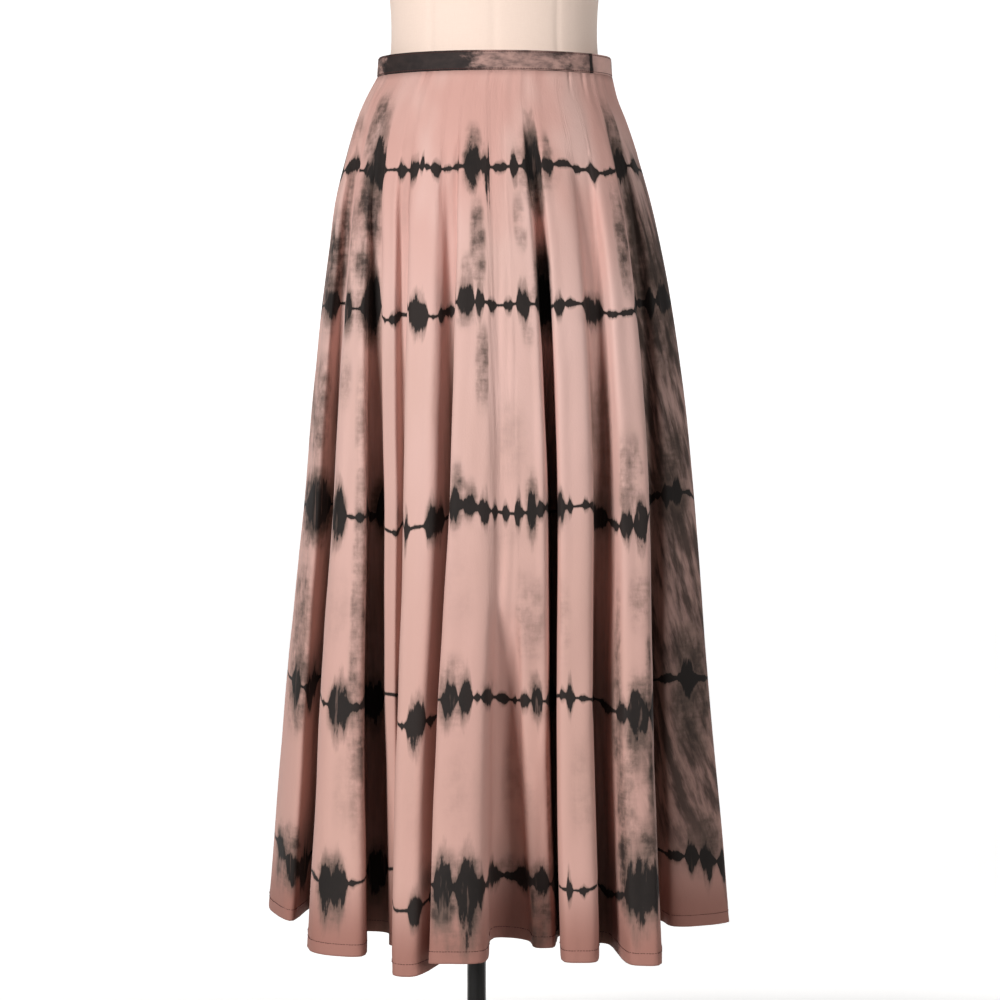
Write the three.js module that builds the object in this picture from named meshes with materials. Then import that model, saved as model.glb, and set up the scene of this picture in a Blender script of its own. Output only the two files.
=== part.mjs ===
// A gathered maxi skirt in dyed cotton, hung on a limbless dress form on a pole stand.
// Millimetres, +Z up. The origin is the centre of the stand's underside, the front faces -Y and
// the wearer's left is +X. Angles round the body are degrees from centre front, positive towards +X.

import * as THREE from "three";

// Driving dimensions

const HEM_HEIGHT = 170; // mean height of the hem above the floor
const WAIST_HEIGHT = 1056; // the seam between the skirt and its waistband
const BAND_DEPTH = 20; // height of the waistband
const CLOTH = 1.6; // wall of the skirt
const HEM_CLOTH = 2.4; // wall where the hem is turned up
const HEM_TURN = 15; // depth of the turned hem
const BAND_CLOTH = 2.4; // folded and interfaced band
const SEAM_GAP = 0.3;
const SKIRT_LENGTH = WAIST_HEIGHT - HEM_HEIGHT;

// The skirt's outer envelope, a row for each section. down is the share of the length below the
// waist seam, side and deep are the half width and half depth, and swing moves its centre in X.
const SECTIONS = [
  { down: 0.0, side: 122.6, deep: 100, swing: -5.5 },
  { down: 0.026, side: 131.7, deep: 107, swing: -8.8 },
  { down: 0.049, side: 140.1, deep: 114, swing: -8.9 },
  { down: 0.084, side: 150.1, deep: 123, swing: -8.3 },
  { down: 0.143, side: 164.4, deep: 136, swing: -6.8 },
  { down: 0.201, side: 173.6, deep: 145, swing: -4.2 },
  { down: 0.26, side: 181.6, deep: 152, swing: -2.6 },
  { down: 0.378, side: 194.8, deep: 163, swing: -0.5 },
  { down: 0.5, side: 204.8, deep: 172, swing: 0.5 },
  { down: 0.737, side: 223.4, deep: 188, swing: -2 },
  { down: 1.0, side: 244, deep: 203, swing: -1 },
];

// The folds, a row for each, from the wearer's right side across the front and round the back.
// crestX and crestY place the crest at the hem, wide is half its width and
// faces is the way it looks. valleyX, valleyY and gap do the same for the valley after it.
// crestTop and valleyTop are their places at the waist, starts is the share of the length at which
// the valley begins, sets the same for the crest, and drop lowers the hem there.
const FOLDS = [
  { crestX: -250, crestY: 38, wide: 68, faces: -81, valleyX: -194, valleyY: 34, gap: 8,
    crestTop: -82, valleyTop: -63, starts: 0.05, sets: 0.05, drop: -2 },
  { crestX: -168, crestY: -168, wide: 29, faces: -22, valleyX: -127, valleyY: -64, gap: 13,
    crestTop: -56.5, valleyTop: -47.5, starts: 0.09, sets: 0.09, drop: 0 },
  { crestX: -107, crestY: -126, wide: 4, faces: -4, valleyX: -97, valleyY: -100, gap: 3,
    crestTop: -40, valleyTop: -35, starts: 0.09, sets: 0.09, drop: 0 },
  { crestX: -94, crestY: -205, wide: 13, faces: -10, valleyX: -39, valleyY: -122, gap: 4,
    crestTop: -26, valleyTop: -15.5, starts: 0.07, sets: 0.07, drop: 12 },
  { crestX: -45, crestY: -229, wide: 27, faces: -2, valleyX: 11, valleyY: -106, gap: 17,
    crestTop: -7, valleyTop: 2, starts: 0.6, sets: 0, drop: -7 },
  { crestX: 45, crestY: -137, wide: 9, faces: 4, valleyX: 63, valleyY: -84, gap: 3,
    crestTop: 9.5, valleyTop: 15, starts: 0.06, sets: 0.6, drop: 0 },
  { crestX: 79, crestY: -197, wide: 16, faces: 2, valleyX: 105, valleyY: -112, gap: 5,
    crestTop: 22, valleyTop: 36, starts: 0.09, sets: 0.09, drop: 0 },
  { crestX: 142, crestY: -202, wide: 15, faces: -6, valleyX: 160, valleyY: -10, gap: 8,
    crestTop: 47, valleyTop: 59, starts: 0.06, sets: 0.06, drop: 2 },
  { crestX: 216, crestY: -38, wide: 33, faces: 22, valleyX: 204, valleyY: 30, gap: 7,
    crestTop: 72, valleyTop: 90, starts: 0.09, sets: 0.09, drop: 0 },
  { crestX: 240, crestY: 82, wide: 20, faces: 104, valleyX: 164, valleyY: 84, gap: 8,
    crestTop: 105, valleyTop: 114, starts: 0.12, sets: 0.12, drop: 4 },
  { crestX: 202, crestY: 138, wide: 17, faces: 128, valleyX: 130, valleyY: 92, gap: 10,
    crestTop: 123, valleyTop: 132, starts: 0.07, sets: 0.07, drop: 0 },
  { crestX: 152, crestY: 175, wide: 18, faces: 148, valleyX: 92, valleyY: 100, gap: 7,
    crestTop: 141, valleyTop: 150, starts: 0.1, sets: 0.1, drop: -4 },
  { crestX: 86, crestY: 198, wide: 19, faces: 162, valleyX: 48, valleyY: 104, gap: 11,
    crestTop: 158, valleyTop: 166, starts: 0.14, sets: 0.14, drop: 3 },
  { crestX: 14, crestY: 206, wide: 22, faces: 178, valleyX: -13, valleyY: 110, gap: 6,
    crestTop: 176, valleyTop: 185, starts: 0.06, sets: 0.06, drop: 8 },
  { crestX: -38, crestY: 203, wide: 16, faces: 190, valleyX: -58, valleyY: 98, gap: 8,
    crestTop: 193, valleyTop: 201, starts: 0.1, sets: 0.1, drop: -3 },
  { crestX: -88, crestY: 194, wide: 19, faces: 204, valleyX: -88, valleyY: 92, gap: 7,
    crestTop: 209, valleyTop: 218, starts: 0.08, sets: 0.08, drop: 5 },
  { crestX: -142, crestY: 178, wide: 17, faces: 216, valleyX: -128, valleyY: 90, gap: 8,
    crestTop: 227, valleyTop: 235, starts: 0.09, sets: 0.09, drop: 0 },
  { crestX: -196, crestY: 156, wide: 17, faces: 228, valleyX: -176, valleyY: 96, gap: 7,
    crestTop: 243, valleyTop: 253, starts: 0.08, sets: 0.08, drop: -5 },
];
const POINTS_PER_SPAN = [2, 2, 2, 1, 2, 2]; // steps in each of a fold's six spans
const CREST_POWER = 1.1; // how slowly a crest comes to its place below its start
const VALLEY_POWER = 0.85; // the same for a valley, which opens sooner

// Gathers under the waistband: so many in each fold, this deep at the seam, gone at this share.
const GATHERS_PER_FOLD = 3;
const GATHER_DEPTH = 1.5;
const GATHER_REACH = 0.2;
const FULL_GATHER_SPACING = 4.5; // columns closer than this take a shallower gather

// Heights at which the cloth's wall has a ring of points, as shares of the length.
const RINGS = [0, 0.022, 0.05, 0.09, 0.145, 0.21, 0.29, 0.38, 0.5, 0.63, 0.76, 0.89];

// Small helpers

const radians = THREE.MathUtils.degToRad;
const clamp = THREE.MathUtils.clamp;
const steps = (count) => Array.from({ length: count }, (_, i) => i);
const sum = (list) => list.reduce((total, value) => total + value, 0);

// A smooth curve through a table's column, read at x on its key column.
function readTable(rows, key, column, x) {
  const last = rows.length - 1;
  const span = clamp(rows.findIndex((row) => row[key] > x) - 1, -1, last - 1);
  const i = span < 0 ? (x <= rows[0][key] ? 0 : last - 1) : span;
  const slope = (k) => {
    const a = rows[Math.max(k - 1, 0)];
    const b = rows[Math.min(k + 1, last)];
    return (b[column] - a[column]) / (b[key] - a[key]);
  };
  const width = rows[i + 1][key] - rows[i][key];
  const s = clamp((x - rows[i][key]) / width, 0, 1);
  const blend = s * s * (3 - 2 * s);
  return (
    rows[i][column] * (1 - blend) + rows[i + 1][column] * blend +
    slope(i) * width * s * (1 - s) * (1 - s) - slope(i + 1) * width * s * s * (1 - s)
  );
}

// A point on the envelope at an angle from centre front.
function envelope(down, degrees) {
  const side = readTable(SECTIONS, "down", "side", down);
  const deep = readTable(SECTIONS, "down", "deep", down);
  const swing = readTable(SECTIONS, "down", "swing", down);
  const angle = radians(degrees);
  return new THREE.Vector2(swing + side * Math.sin(angle), -deep * Math.cos(angle));
}

// How far a fold that begins at a share of the length has grown.
function growth(down, begins, power) {
  return clamp((down - begins) / (1 - begins), 0, 1) ** power;
}

// The six places that shape one fold: left, middle and right of its crest, then of its valley.
// home is an angle on the envelope, and at is where the place has come to at the hem.
function foldPlaces(index) {
  const fold = FOLDS[index];
  const before = FOLDS.at(index - 1);
  const after = FOLDS[(index + 1) % FOLDS.length];
  const turn = (degrees, from) => degrees + 360 * Math.round((from - degrees) / 360);
  const rise = fold.valleyTop - fold.crestTop;
  const fall = fold.crestTop - turn(before.valleyTop, fold.crestTop);
  const next = turn(after.crestTop, fold.valleyTop) - fold.valleyTop;
  const between = (fold.faces + turn(after.faces, fold.faces)) / 2;
  const crest = new THREE.Vector2(fold.crestX, fold.crestY);
  const valley = new THREE.Vector2(fold.valleyX, fold.valleyY);
  const offset = (from, faces, side, back) => {
    const facing = radians(faces);
    const along = new THREE.Vector2(Math.cos(facing), Math.sin(facing));
    const inward = new THREE.Vector2(-Math.sin(facing), Math.cos(facing));
    return from.clone().addScaledVector(along, side).addScaledVector(inward, back);
  };
  const round = fold.wide * 0.28;
  const lip = -fold.gap * 0.5;
  const onCrest = (home, side, back) => ({
    home,
    begins: fold.sets,
    power: CREST_POWER,
    at: offset(crest, fold.faces, side, back),
  });
  const inValley = (home, side, back) => ({
    home,
    begins: fold.starts,
    power: VALLEY_POWER,
    at: offset(valley, between, side, back),
  });
  return [
    onCrest(fold.crestTop - fall * 0.5, -fold.wide, round),
    onCrest(fold.crestTop, 0, 0),
    onCrest(fold.crestTop + rise * 0.5, fold.wide, round),
    inValley(fold.valleyTop - rise * 0.25, -fold.gap, lip),
    inValley(fold.valleyTop, 0, 0),
    inValley(fold.valleyTop + next * 0.25, fold.gap, lip),
  ];
}
const PLACES = FOLDS.flatMap((_, index) => foldPlaces(index));

// The middle of the cloth round the body at one height, as a closed curve's points.
function section(down) {
  const knots = PLACES.map((place) => {
    const home = envelope(down, place.home);
    const moved = place.at.clone().sub(envelope(1, place.home));
    const at = home.addScaledVector(moved, growth(down, place.begins, place.power));
    return new THREE.Vector3(at.x, at.y, 0);
  });
  const curve = new THREE.CatmullRomCurve3(knots, true, "centripetal");
  const spans = PLACES.length;
  return PLACES.flatMap((_, span) => {
    const count = POINTS_PER_SPAN[span % POINTS_PER_SPAN.length];
    return steps(count).map((step) => curve.getPoint((span + step / count) / spans));
  });
}
const COLUMNS = FOLDS.length * sum(POINTS_PER_SPAN);

// Outward direction in plan at each point of a closed curve.
function outward(points) {
  return points.map((_, i) => {
    const came = points[i].clone().sub(points.at(i - 1)).normalize();
    const goes = points[(i + 1) % points.length].clone().sub(points[i]).normalize();
    const along = came.add(goes);
    return new THREE.Vector2(along.y, -along.x).normalize();
  });
}

// How far the hem hangs below its mean at a column, blended from fold to fold.
function hemDrop(column) {
  const perFold = COLUMNS / FOLDS.length;
  const at = (column - POINTS_PER_SPAN[0]) / perFold;
  const low = Math.floor(at);
  const share = at - low;
  const blend = share * share * (3 - 2 * share);
  const count = FOLDS.length;
  const here = FOLDS[(low + count) % count].drop;
  const there = FOLDS[(low + 1 + count) % count].drop;
  return here * (1 - blend) + there * blend;
}

// One ring of the skirt: for each column the middle of the cloth, its outward way and its height.
function ring(down) {
  const middle = section(down);
  const ways = outward(middle);
  const perFold = COLUMNS / FOLDS.length;
  const fade = clamp(1 - down / GATHER_REACH, 0, 1) ** 1.5;
  return middle.map((point, column) => {
    const wave = Math.cos((2 * Math.PI * GATHERS_PER_FOLD * column) / perFold);
    const spacing = middle.at(column - 1).distanceTo(middle[(column + 1) % COLUMNS]) / 2;
    const depth = GATHER_DEPTH * Math.min(1, (spacing / FULL_GATHER_SPACING) ** 2);
    const inset = CLOTH / 2 + depth * fade * (1 - wave);
    const x = point.x - ways[column].x * inset;
    const y = point.y - ways[column].y * inset;
    const z = WAIST_HEIGHT - SEAM_GAP - down * (SKIRT_LENGTH - SEAM_GAP + hemDrop(column));
    return { x, y, z, way: ways[column] };
  });
}
const hemShare = 1 - HEM_TURN / SKIRT_LENGTH;
const SKIRT_RINGS = [...RINGS, hemShare, 1].map((down) => ({ down, points: ring(down) }));

// A closed wall from rows of points: each row has outer and inner points across the piece.
// A closed piece joins its last column to its first.
function wall(rows, closed) {
  const across = rows[0].length;
  const positions = [];
  for (const side of ["outer", "inner"]) {
    for (const row of rows) for (const point of row) positions.push(...point[side]);
  }
  const inner = rows.length * across;
  const faces = [];
  const quad = (a, b, c, d) => faces.push(a, b, c, a, c, d);
  const columns = closed ? across : across - 1;
  for (const c of steps(columns)) {
    const d = (c + 1) % across;
    for (const r of steps(rows.length - 1)) {
      const top = r * across;
      const low = top + across;
      quad(top + c, low + c, low + d, top + d);
      quad(inner + top + c, inner + top + d, inner + low + d, inner + low + c);
    }
    const foot = (rows.length - 1) * across;
    quad(c, d, inner + d, inner + c);
    quad(foot + c, inner + foot + c, inner + foot + d, foot + d);
  }
  if (!closed) {
    for (const r of steps(rows.length - 1)) {
      const top = r * across;
      const low = top + across;
      const end = across - 1;
      quad(top, inner + top, inner + low, low);
      quad(top + end, low + end, inner + low + end, inner + top + end);
    }
  }
  const geometry = new THREE.BufferGeometry();
  geometry.setAttribute("position", new THREE.Float32BufferAttribute(positions, 3));
  geometry.setIndex(faces);
  geometry.computeVertexNormals();
  return geometry;
}

// Outer and inner points of the cloth at one place.
function layers(point, outside, inside) {
  return {
    outer: [point.x + point.way.x * outside, point.y + point.way.y * outside, point.z],
    inner: [point.x - point.way.x * inside, point.y - point.way.y * inside, point.z],
  };
}

// A skirt panel between two seams, given as columns. Its ends stop half a seam gap short.
function panel(first, last) {
  const rows = SKIRT_RINGS.map(({ down, points }) => {
    const inside = (down > hemShare ? HEM_CLOTH : CLOTH) - CLOTH / 2;
    const count = last - first;
    return steps(count + 1).map((step) => {
      const column = (first + step) % COLUMNS;
      const point = { ...points[column] };
      if (step === 0 || step === count) {
        const toward = points[(column + (step === 0 ? 1 : COLUMNS - 1)) % COLUMNS];
        const pull = SEAM_GAP / 2 / Math.hypot(toward.x - point.x, toward.y - point.y);
        point.x += (toward.x - point.x) * pull;
        point.y += (toward.y - point.y) * pull;
      }
      return layers(point, CLOTH / 2, inside);
    });
  });
  return wall(rows, false);
}

// The columns where the seams run: both sides, and the centre back behind the placket.
const PER_FOLD = sum(POINTS_PER_SPAN);
const LEFT_SIDE = 9 * PER_FOLD;
const CENTRE_BACK = 13 * PER_FOLD + POINTS_PER_SPAN[0];
const RIGHT_SIDE = COLUMNS;

// The lapped placket over the centre back opening: the panels' own points, moved out.
const PLACKET_LENGTH = 180;
const PLACKET_CLOTH = 1.2;
function placket() {
  const end = PLACKET_LENGTH / SKIRT_LENGTH;
  const heights = [0.004, 0.05, 0.09, 0.145, end];
  const rows = heights.map((down) => {
    const points = ring(down);
    return [-2, -1, 0, 1].map((step) => {
      const point = points[CENTRE_BACK + step];
      return layers(point, CLOTH / 2 + SEAM_GAP + PLACKET_CLOTH, -CLOTH / 2 - SEAM_GAP);
    });
  });
  return wall(rows, false);
}

// The waistband is one straight strip. Its end laps over its beginning at the centre back.
const BAND_TOP = { side: 121.2, deep: 98.8 };
const BAND_FOOT = { side: 122.6, deep: 100 };
const BAND_SWING = SECTIONS[0].swing;
const LAP_DEGREES = 15;
const BAND_STEPS = 90;
const LAP_START = 184;
function waistband() {
  const turns = 360 + LAP_DEGREES;
  const rows = [BAND_TOP, BAND_FOOT].map((size, level) => {
    const z = WAIST_HEIGHT + (1 - level) * BAND_DEPTH;
    return steps(BAND_STEPS + 1).map((step) => {
      const turned = (turns * step) / BAND_STEPS;
      const angle = radians(LAP_START - LAP_DEGREES + turned);
      const lap = clamp((turned - 360 + LAP_DEGREES / 2) / (LAP_DEGREES / 2), 0, 1);
      const lift = lap * lap * (3 - 2 * lap) * (BAND_CLOTH + SEAM_GAP);
      const way = new THREE.Vector2(Math.sin(angle) / size.side, -Math.cos(angle) / size.deep);
      way.normalize();
      const x = BAND_SWING + size.side * Math.sin(angle) + way.x * lift;
      const y = -size.deep * Math.cos(angle) + way.y * lift;
      return layers({ x, y, z, way }, 0, BAND_CLOTH);
    });
  });
  return wall(rows, false);
}

// The button that closes the lap, turned to lie on the band.
const BUTTON_RADIUS = 7;
const BUTTON_THICK = 2.6;
const BUTTON_ANGLE = 177;
function button() {
  const rim = BUTTON_THICK / 2;
  const profile = [
    [0, -rim], [BUTTON_RADIUS - 0.6, -rim], [BUTTON_RADIUS, -rim + 0.7], [BUTTON_RADIUS, rim - 0.5],
    [BUTTON_RADIUS - 0.5, rim], [BUTTON_RADIUS - 1.6, rim], [BUTTON_RADIUS - 2.4, rim - 0.6], [0, rim - 0.6],
  ];
  const points = profile.map(([r, h]) => new THREE.Vector2(r, h));
  return new THREE.LatheGeometry(points, 24);
}

// The dress form

// Horizontal sections of the torso, from its foot to its neck. wide is the half width, front and
// back are the depths from its centre line.
const TORSO = [
  { z: 800, wide: 132, front: 92, back: 96 },
  { z: 840, wide: 142, front: 99, back: 104 },
  { z: 890, wide: 148, front: 104, back: 110 },
  { z: 930, wide: 148, front: 105, back: 111 },
  { z: 965, wide: 144, front: 104, back: 109 },
  { z: 1000, wide: 138.1, front: 103, back: 106 },
  { z: 1025, wide: 127, front: 97, back: 98 },
  { z: 1050, wide: 114, front: 88, back: 86 },
  { z: 1078, wide: 108, front: 84, back: 80 },
  { z: 1115, wide: 107, front: 83, back: 79 },
  { z: 1150, wide: 110, front: 85, back: 81 },
  { z: 1190, wide: 117, front: 90, back: 87 },
  { z: 1230, wide: 126, front: 94, back: 93 },
  { z: 1270, wide: 135, front: 95, back: 98 },
  { z: 1310, wide: 142, front: 90, back: 100 },
  { z: 1350, wide: 149, front: 81, back: 98 },
  { z: 1385, wide: 153, front: 71, back: 89 },
  { z: 1408, wide: 146, front: 63, back: 78 },
  { z: 1426, wide: 119, front: 58, back: 67 },
  { z: 1440, wide: 84, front: 55, back: 59 },
  { z: 1454, wide: 61, front: 53, back: 53 },
  { z: 1475, wide: 54, front: 51, back: 49 },
  { z: 1510, wide: 52, front: 49, back: 47 },
];
const BODY_X = -6; // the torso's centre line
const BUST = { z: 1258, x: 72, reach: 26, spreadX: 46, spreadUp: 62, spreadDown: 44 };
const TORSO_COLUMNS = 40;

// A point on the torso. The bust is two soft mounds on its front.
function torsoPoint(z, degrees) {
  const wide = readTable(TORSO, "z", "wide", z);
  const angle = radians(degrees);
  const ahead = Math.cos(angle) > 0;
  const deep = readTable(TORSO, "z", ahead ? "front" : "back", z);
  const x = wide * Math.sin(angle);
  const y = -deep * Math.cos(angle);
  const tall = z > BUST.z ? BUST.spreadUp : BUST.spreadDown;
  const across = (Math.abs(x) - BUST.x) / BUST.spreadX;
  const along = (z - BUST.z) / tall;
  const mound = ahead ? BUST.reach * Math.exp(-across * across - along * along) : 0;
  return [BODY_X + x, y - mound * Math.cos(angle), z];
}

// A closed solid through rings of points, with flat ends.
function loft(rings) {
  const across = rings[0].length;
  const positions = rings.flat(2);
  const faces = [];
  for (const r of steps(rings.length - 1)) {
    for (const c of steps(across)) {
      const d = (c + 1) % across;
      const a = r * across;
      const b = a + across;
      faces.push(a + c, a + d, b + d, a + c, b + d, b + c);
    }
  }
  const centre = (ringPoints) => [0, 1, 2].map((k) => sum(ringPoints.map((p) => p[k])) / across);
  const foot = positions.length / 3;
  positions.push(...centre(rings[0]), ...centre(rings.at(-1)));
  const top = (rings.length - 1) * across;
  for (const c of steps(across)) {
    const d = (c + 1) % across;
    faces.push(foot, d, c, foot + 1, top + c, top + d);
  }
  const geometry = new THREE.BufferGeometry();
  geometry.setAttribute("position", new THREE.Float32BufferAttribute(positions, 3));
  geometry.setIndex(faces);
  geometry.computeVertexNormals();
  return geometry;
}

function torso() {
  const rings = TORSO.map(({ z }) =>
    steps(TORSO_COLUMNS).map((c) => torsoPoint(z, (360 * c) / TORSO_COLUMNS)),
  );
  return loft(rings);
}

// Turned pieces stand on the axis: each profile row is a radius and a height.
function turned(profile, sides, x) {
  const points = profile.map(([radius, height]) => new THREE.Vector2(radius, height));
  return new THREE.LatheGeometry(points, sides).rotateX(Math.PI / 2).translate(x, 0, 0);
}

const POLE_X = -25; // the pole stands a little to one side of the torso's centre line
const POLE_RADIUS = 10;
const BASE_RADIUS = 190;
const BASE_THICK = 12;
const HUB_HEIGHT = 46;
const NECK_TOP = TORSO.at(-1).z;
const TORSO_FOOT = TORSO[0].z;
const BASE_PROFILE = [
  [0, 0], [BASE_RADIUS - 2, 0], [BASE_RADIUS, 2], [BASE_RADIUS, 6], [BASE_RADIUS - 5, 9],
  [BASE_RADIUS - 60, BASE_THICK], [0, BASE_THICK],
];
const HUB_INNER = POLE_RADIUS + SEAM_GAP;
const HUB_FOOT = BASE_THICK + SEAM_GAP;
const HUB_PROFILE = [
  [HUB_INNER, HUB_FOOT], [34, HUB_FOOT], [34, HUB_FOOT + 4], [20, HUB_FOOT + 12],
  [15, HUB_HEIGHT - 3], [14, HUB_HEIGHT], [HUB_INNER, HUB_HEIGHT], [HUB_INNER, HUB_FOOT],
];
const COLLAR_FOOT = TORSO_FOOT - 42;
const COLLAR_TOP = TORSO_FOOT - 8 - 2 * SEAM_GAP;
const COLLAR_PROFILE = [
  [HUB_INNER, COLLAR_FOOT], [16, COLLAR_FOOT], [17, COLLAR_FOOT + 2], [17, COLLAR_TOP],
  [HUB_INNER, COLLAR_TOP], [HUB_INNER, COLLAR_FOOT],
];
const CAP_FOOT = NECK_TOP + SEAM_GAP;
const CAP_PROFILE = [
  [0, CAP_FOOT], [47, CAP_FOOT], [49, CAP_FOOT + 2], [48, CAP_FOOT + 7], [40, CAP_FOOT + 11],
  [14, CAP_FOOT + 14], [11, CAP_FOOT + 18], [13, CAP_FOOT + 24], [16, CAP_FOOT + 30],
  [14, CAP_FOOT + 37], [8, CAP_FOOT + 41], [0, CAP_FOOT + 42],
];

function footPlate() {
  const inset = 0.94;
  const ringAt = (z) =>
    steps(TORSO_COLUMNS).map((c) => {
      const [x, y] = torsoPoint(TORSO_FOOT, (360 * c) / TORSO_COLUMNS);
      return [BODY_X + (x - BODY_X) * inset, y * inset, z];
    });
  const top = TORSO_FOOT - SEAM_GAP;
  return loft([ringAt(top - 8), ringAt(top)]);
}

function pole() {
  const foot = BASE_THICK + SEAM_GAP;
  const top = TORSO_FOOT - 8 - 2 * SEAM_GAP;
  const shape = [[0, foot], [POLE_RADIUS, foot], [POLE_RADIUS, top], [0, top]];
  return turned(shape, 20, POLE_X);
}

// Materials

const finish = (colour, roughness, metalness = 0) =>
  new THREE.MeshStandardMaterial({ color: colour, roughness, metalness, side: THREE.DoubleSide });
const cloth = finish("#d3a99c", 0.75);
const bandCloth = finish("#94776f", 0.75);
const linen = finish("#ecdccb", 0.85);
const blackEnamel = finish("#141313", 0.4, 0.3);
const darkWood = finish("#2a201a", 0.5);
const shell = finish("#4a3f3c", 0.35);

// Assembly

const skirt = new THREE.Group();
const stand = new THREE.Group();

function add(group, name, geometry, material) {
  const mesh = new THREE.Mesh(geometry, material);
  mesh.name = name;
  group.add(mesh);
  return mesh;
}

add(skirt, "front_panel", panel(0, LEFT_SIDE), cloth);
add(skirt, "back_panel_left", panel(LEFT_SIDE, CENTRE_BACK), cloth);
add(skirt, "back_panel_right", panel(CENTRE_BACK, RIGHT_SIDE), cloth);
add(skirt, "back_placket", placket(), cloth);
add(skirt, "waistband", waistband(), bandCloth);
const fastener = add(skirt, "waistband_button", button(), shell);

const buttonWay = new THREE.Vector2(
  Math.sin(radians(BUTTON_ANGLE)) / BAND_FOOT.side,
  -Math.cos(radians(BUTTON_ANGLE)) / BAND_FOOT.deep,
).normalize();
const buttonOut = BAND_CLOTH + 2 * SEAM_GAP + BUTTON_THICK / 2;
fastener.position.set(
  BAND_SWING + BAND_FOOT.side * Math.sin(radians(BUTTON_ANGLE)) + buttonWay.x * buttonOut,
  -BAND_FOOT.deep * Math.cos(radians(BUTTON_ANGLE)) + buttonWay.y * buttonOut,
  WAIST_HEIGHT + BAND_DEPTH / 2,
);
fastener.quaternion.setFromUnitVectors(
  new THREE.Vector3(0, 1, 0),
  new THREE.Vector3(buttonWay.x, buttonWay.y, 0),
);

add(stand, "form_torso", torso(), linen);
add(stand, "form_foot_plate", footPlate(), darkWood);
add(stand, "form_neck_cap", turned(CAP_PROFILE, 32, BODY_X), darkWood);
add(stand, "pole", pole(), blackEnamel);
add(stand, "pole_collar", turned(COLLAR_PROFILE, 24, POLE_X), blackEnamel);
add(stand, "base_hub", turned(HUB_PROFILE, 32, POLE_X), blackEnamel);
add(stand, "base_plate", turned(BASE_PROFILE, 48, POLE_X), blackEnamel);

const model = new THREE.Group();
model.add(skirt, stand);

export default model;
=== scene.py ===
import math

import bpy
import numpy as np
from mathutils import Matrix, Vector


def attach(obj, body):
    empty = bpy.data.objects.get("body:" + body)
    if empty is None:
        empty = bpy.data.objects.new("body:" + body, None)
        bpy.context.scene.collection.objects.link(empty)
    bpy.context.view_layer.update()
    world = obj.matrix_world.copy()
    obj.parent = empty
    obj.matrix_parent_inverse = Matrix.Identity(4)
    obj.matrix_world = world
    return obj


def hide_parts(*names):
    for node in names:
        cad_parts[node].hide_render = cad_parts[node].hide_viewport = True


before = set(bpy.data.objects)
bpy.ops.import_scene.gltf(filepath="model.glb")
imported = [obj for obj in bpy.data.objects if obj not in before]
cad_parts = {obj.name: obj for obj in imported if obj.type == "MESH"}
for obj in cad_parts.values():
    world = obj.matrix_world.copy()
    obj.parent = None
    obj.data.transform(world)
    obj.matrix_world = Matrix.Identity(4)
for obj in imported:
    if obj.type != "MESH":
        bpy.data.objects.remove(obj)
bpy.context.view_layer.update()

# Base plate, hub, pole and collar
# A flat round plate of sheet steel carries a short hub, and the steel pole stands in the hub. All
# are sprayed with satin black enamel.


def to_linear(red, green, blue):
    """A colour read as 0 to 255 on a screen, as the shader wants it."""
    values = []
    for part in (red, green, blue):
        part = part / 255
        values.append(part / 12.92 if part < 0.04045 else ((part + 0.055) / 1.055) ** 2.4)
    return (*values, 1.0)


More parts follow.
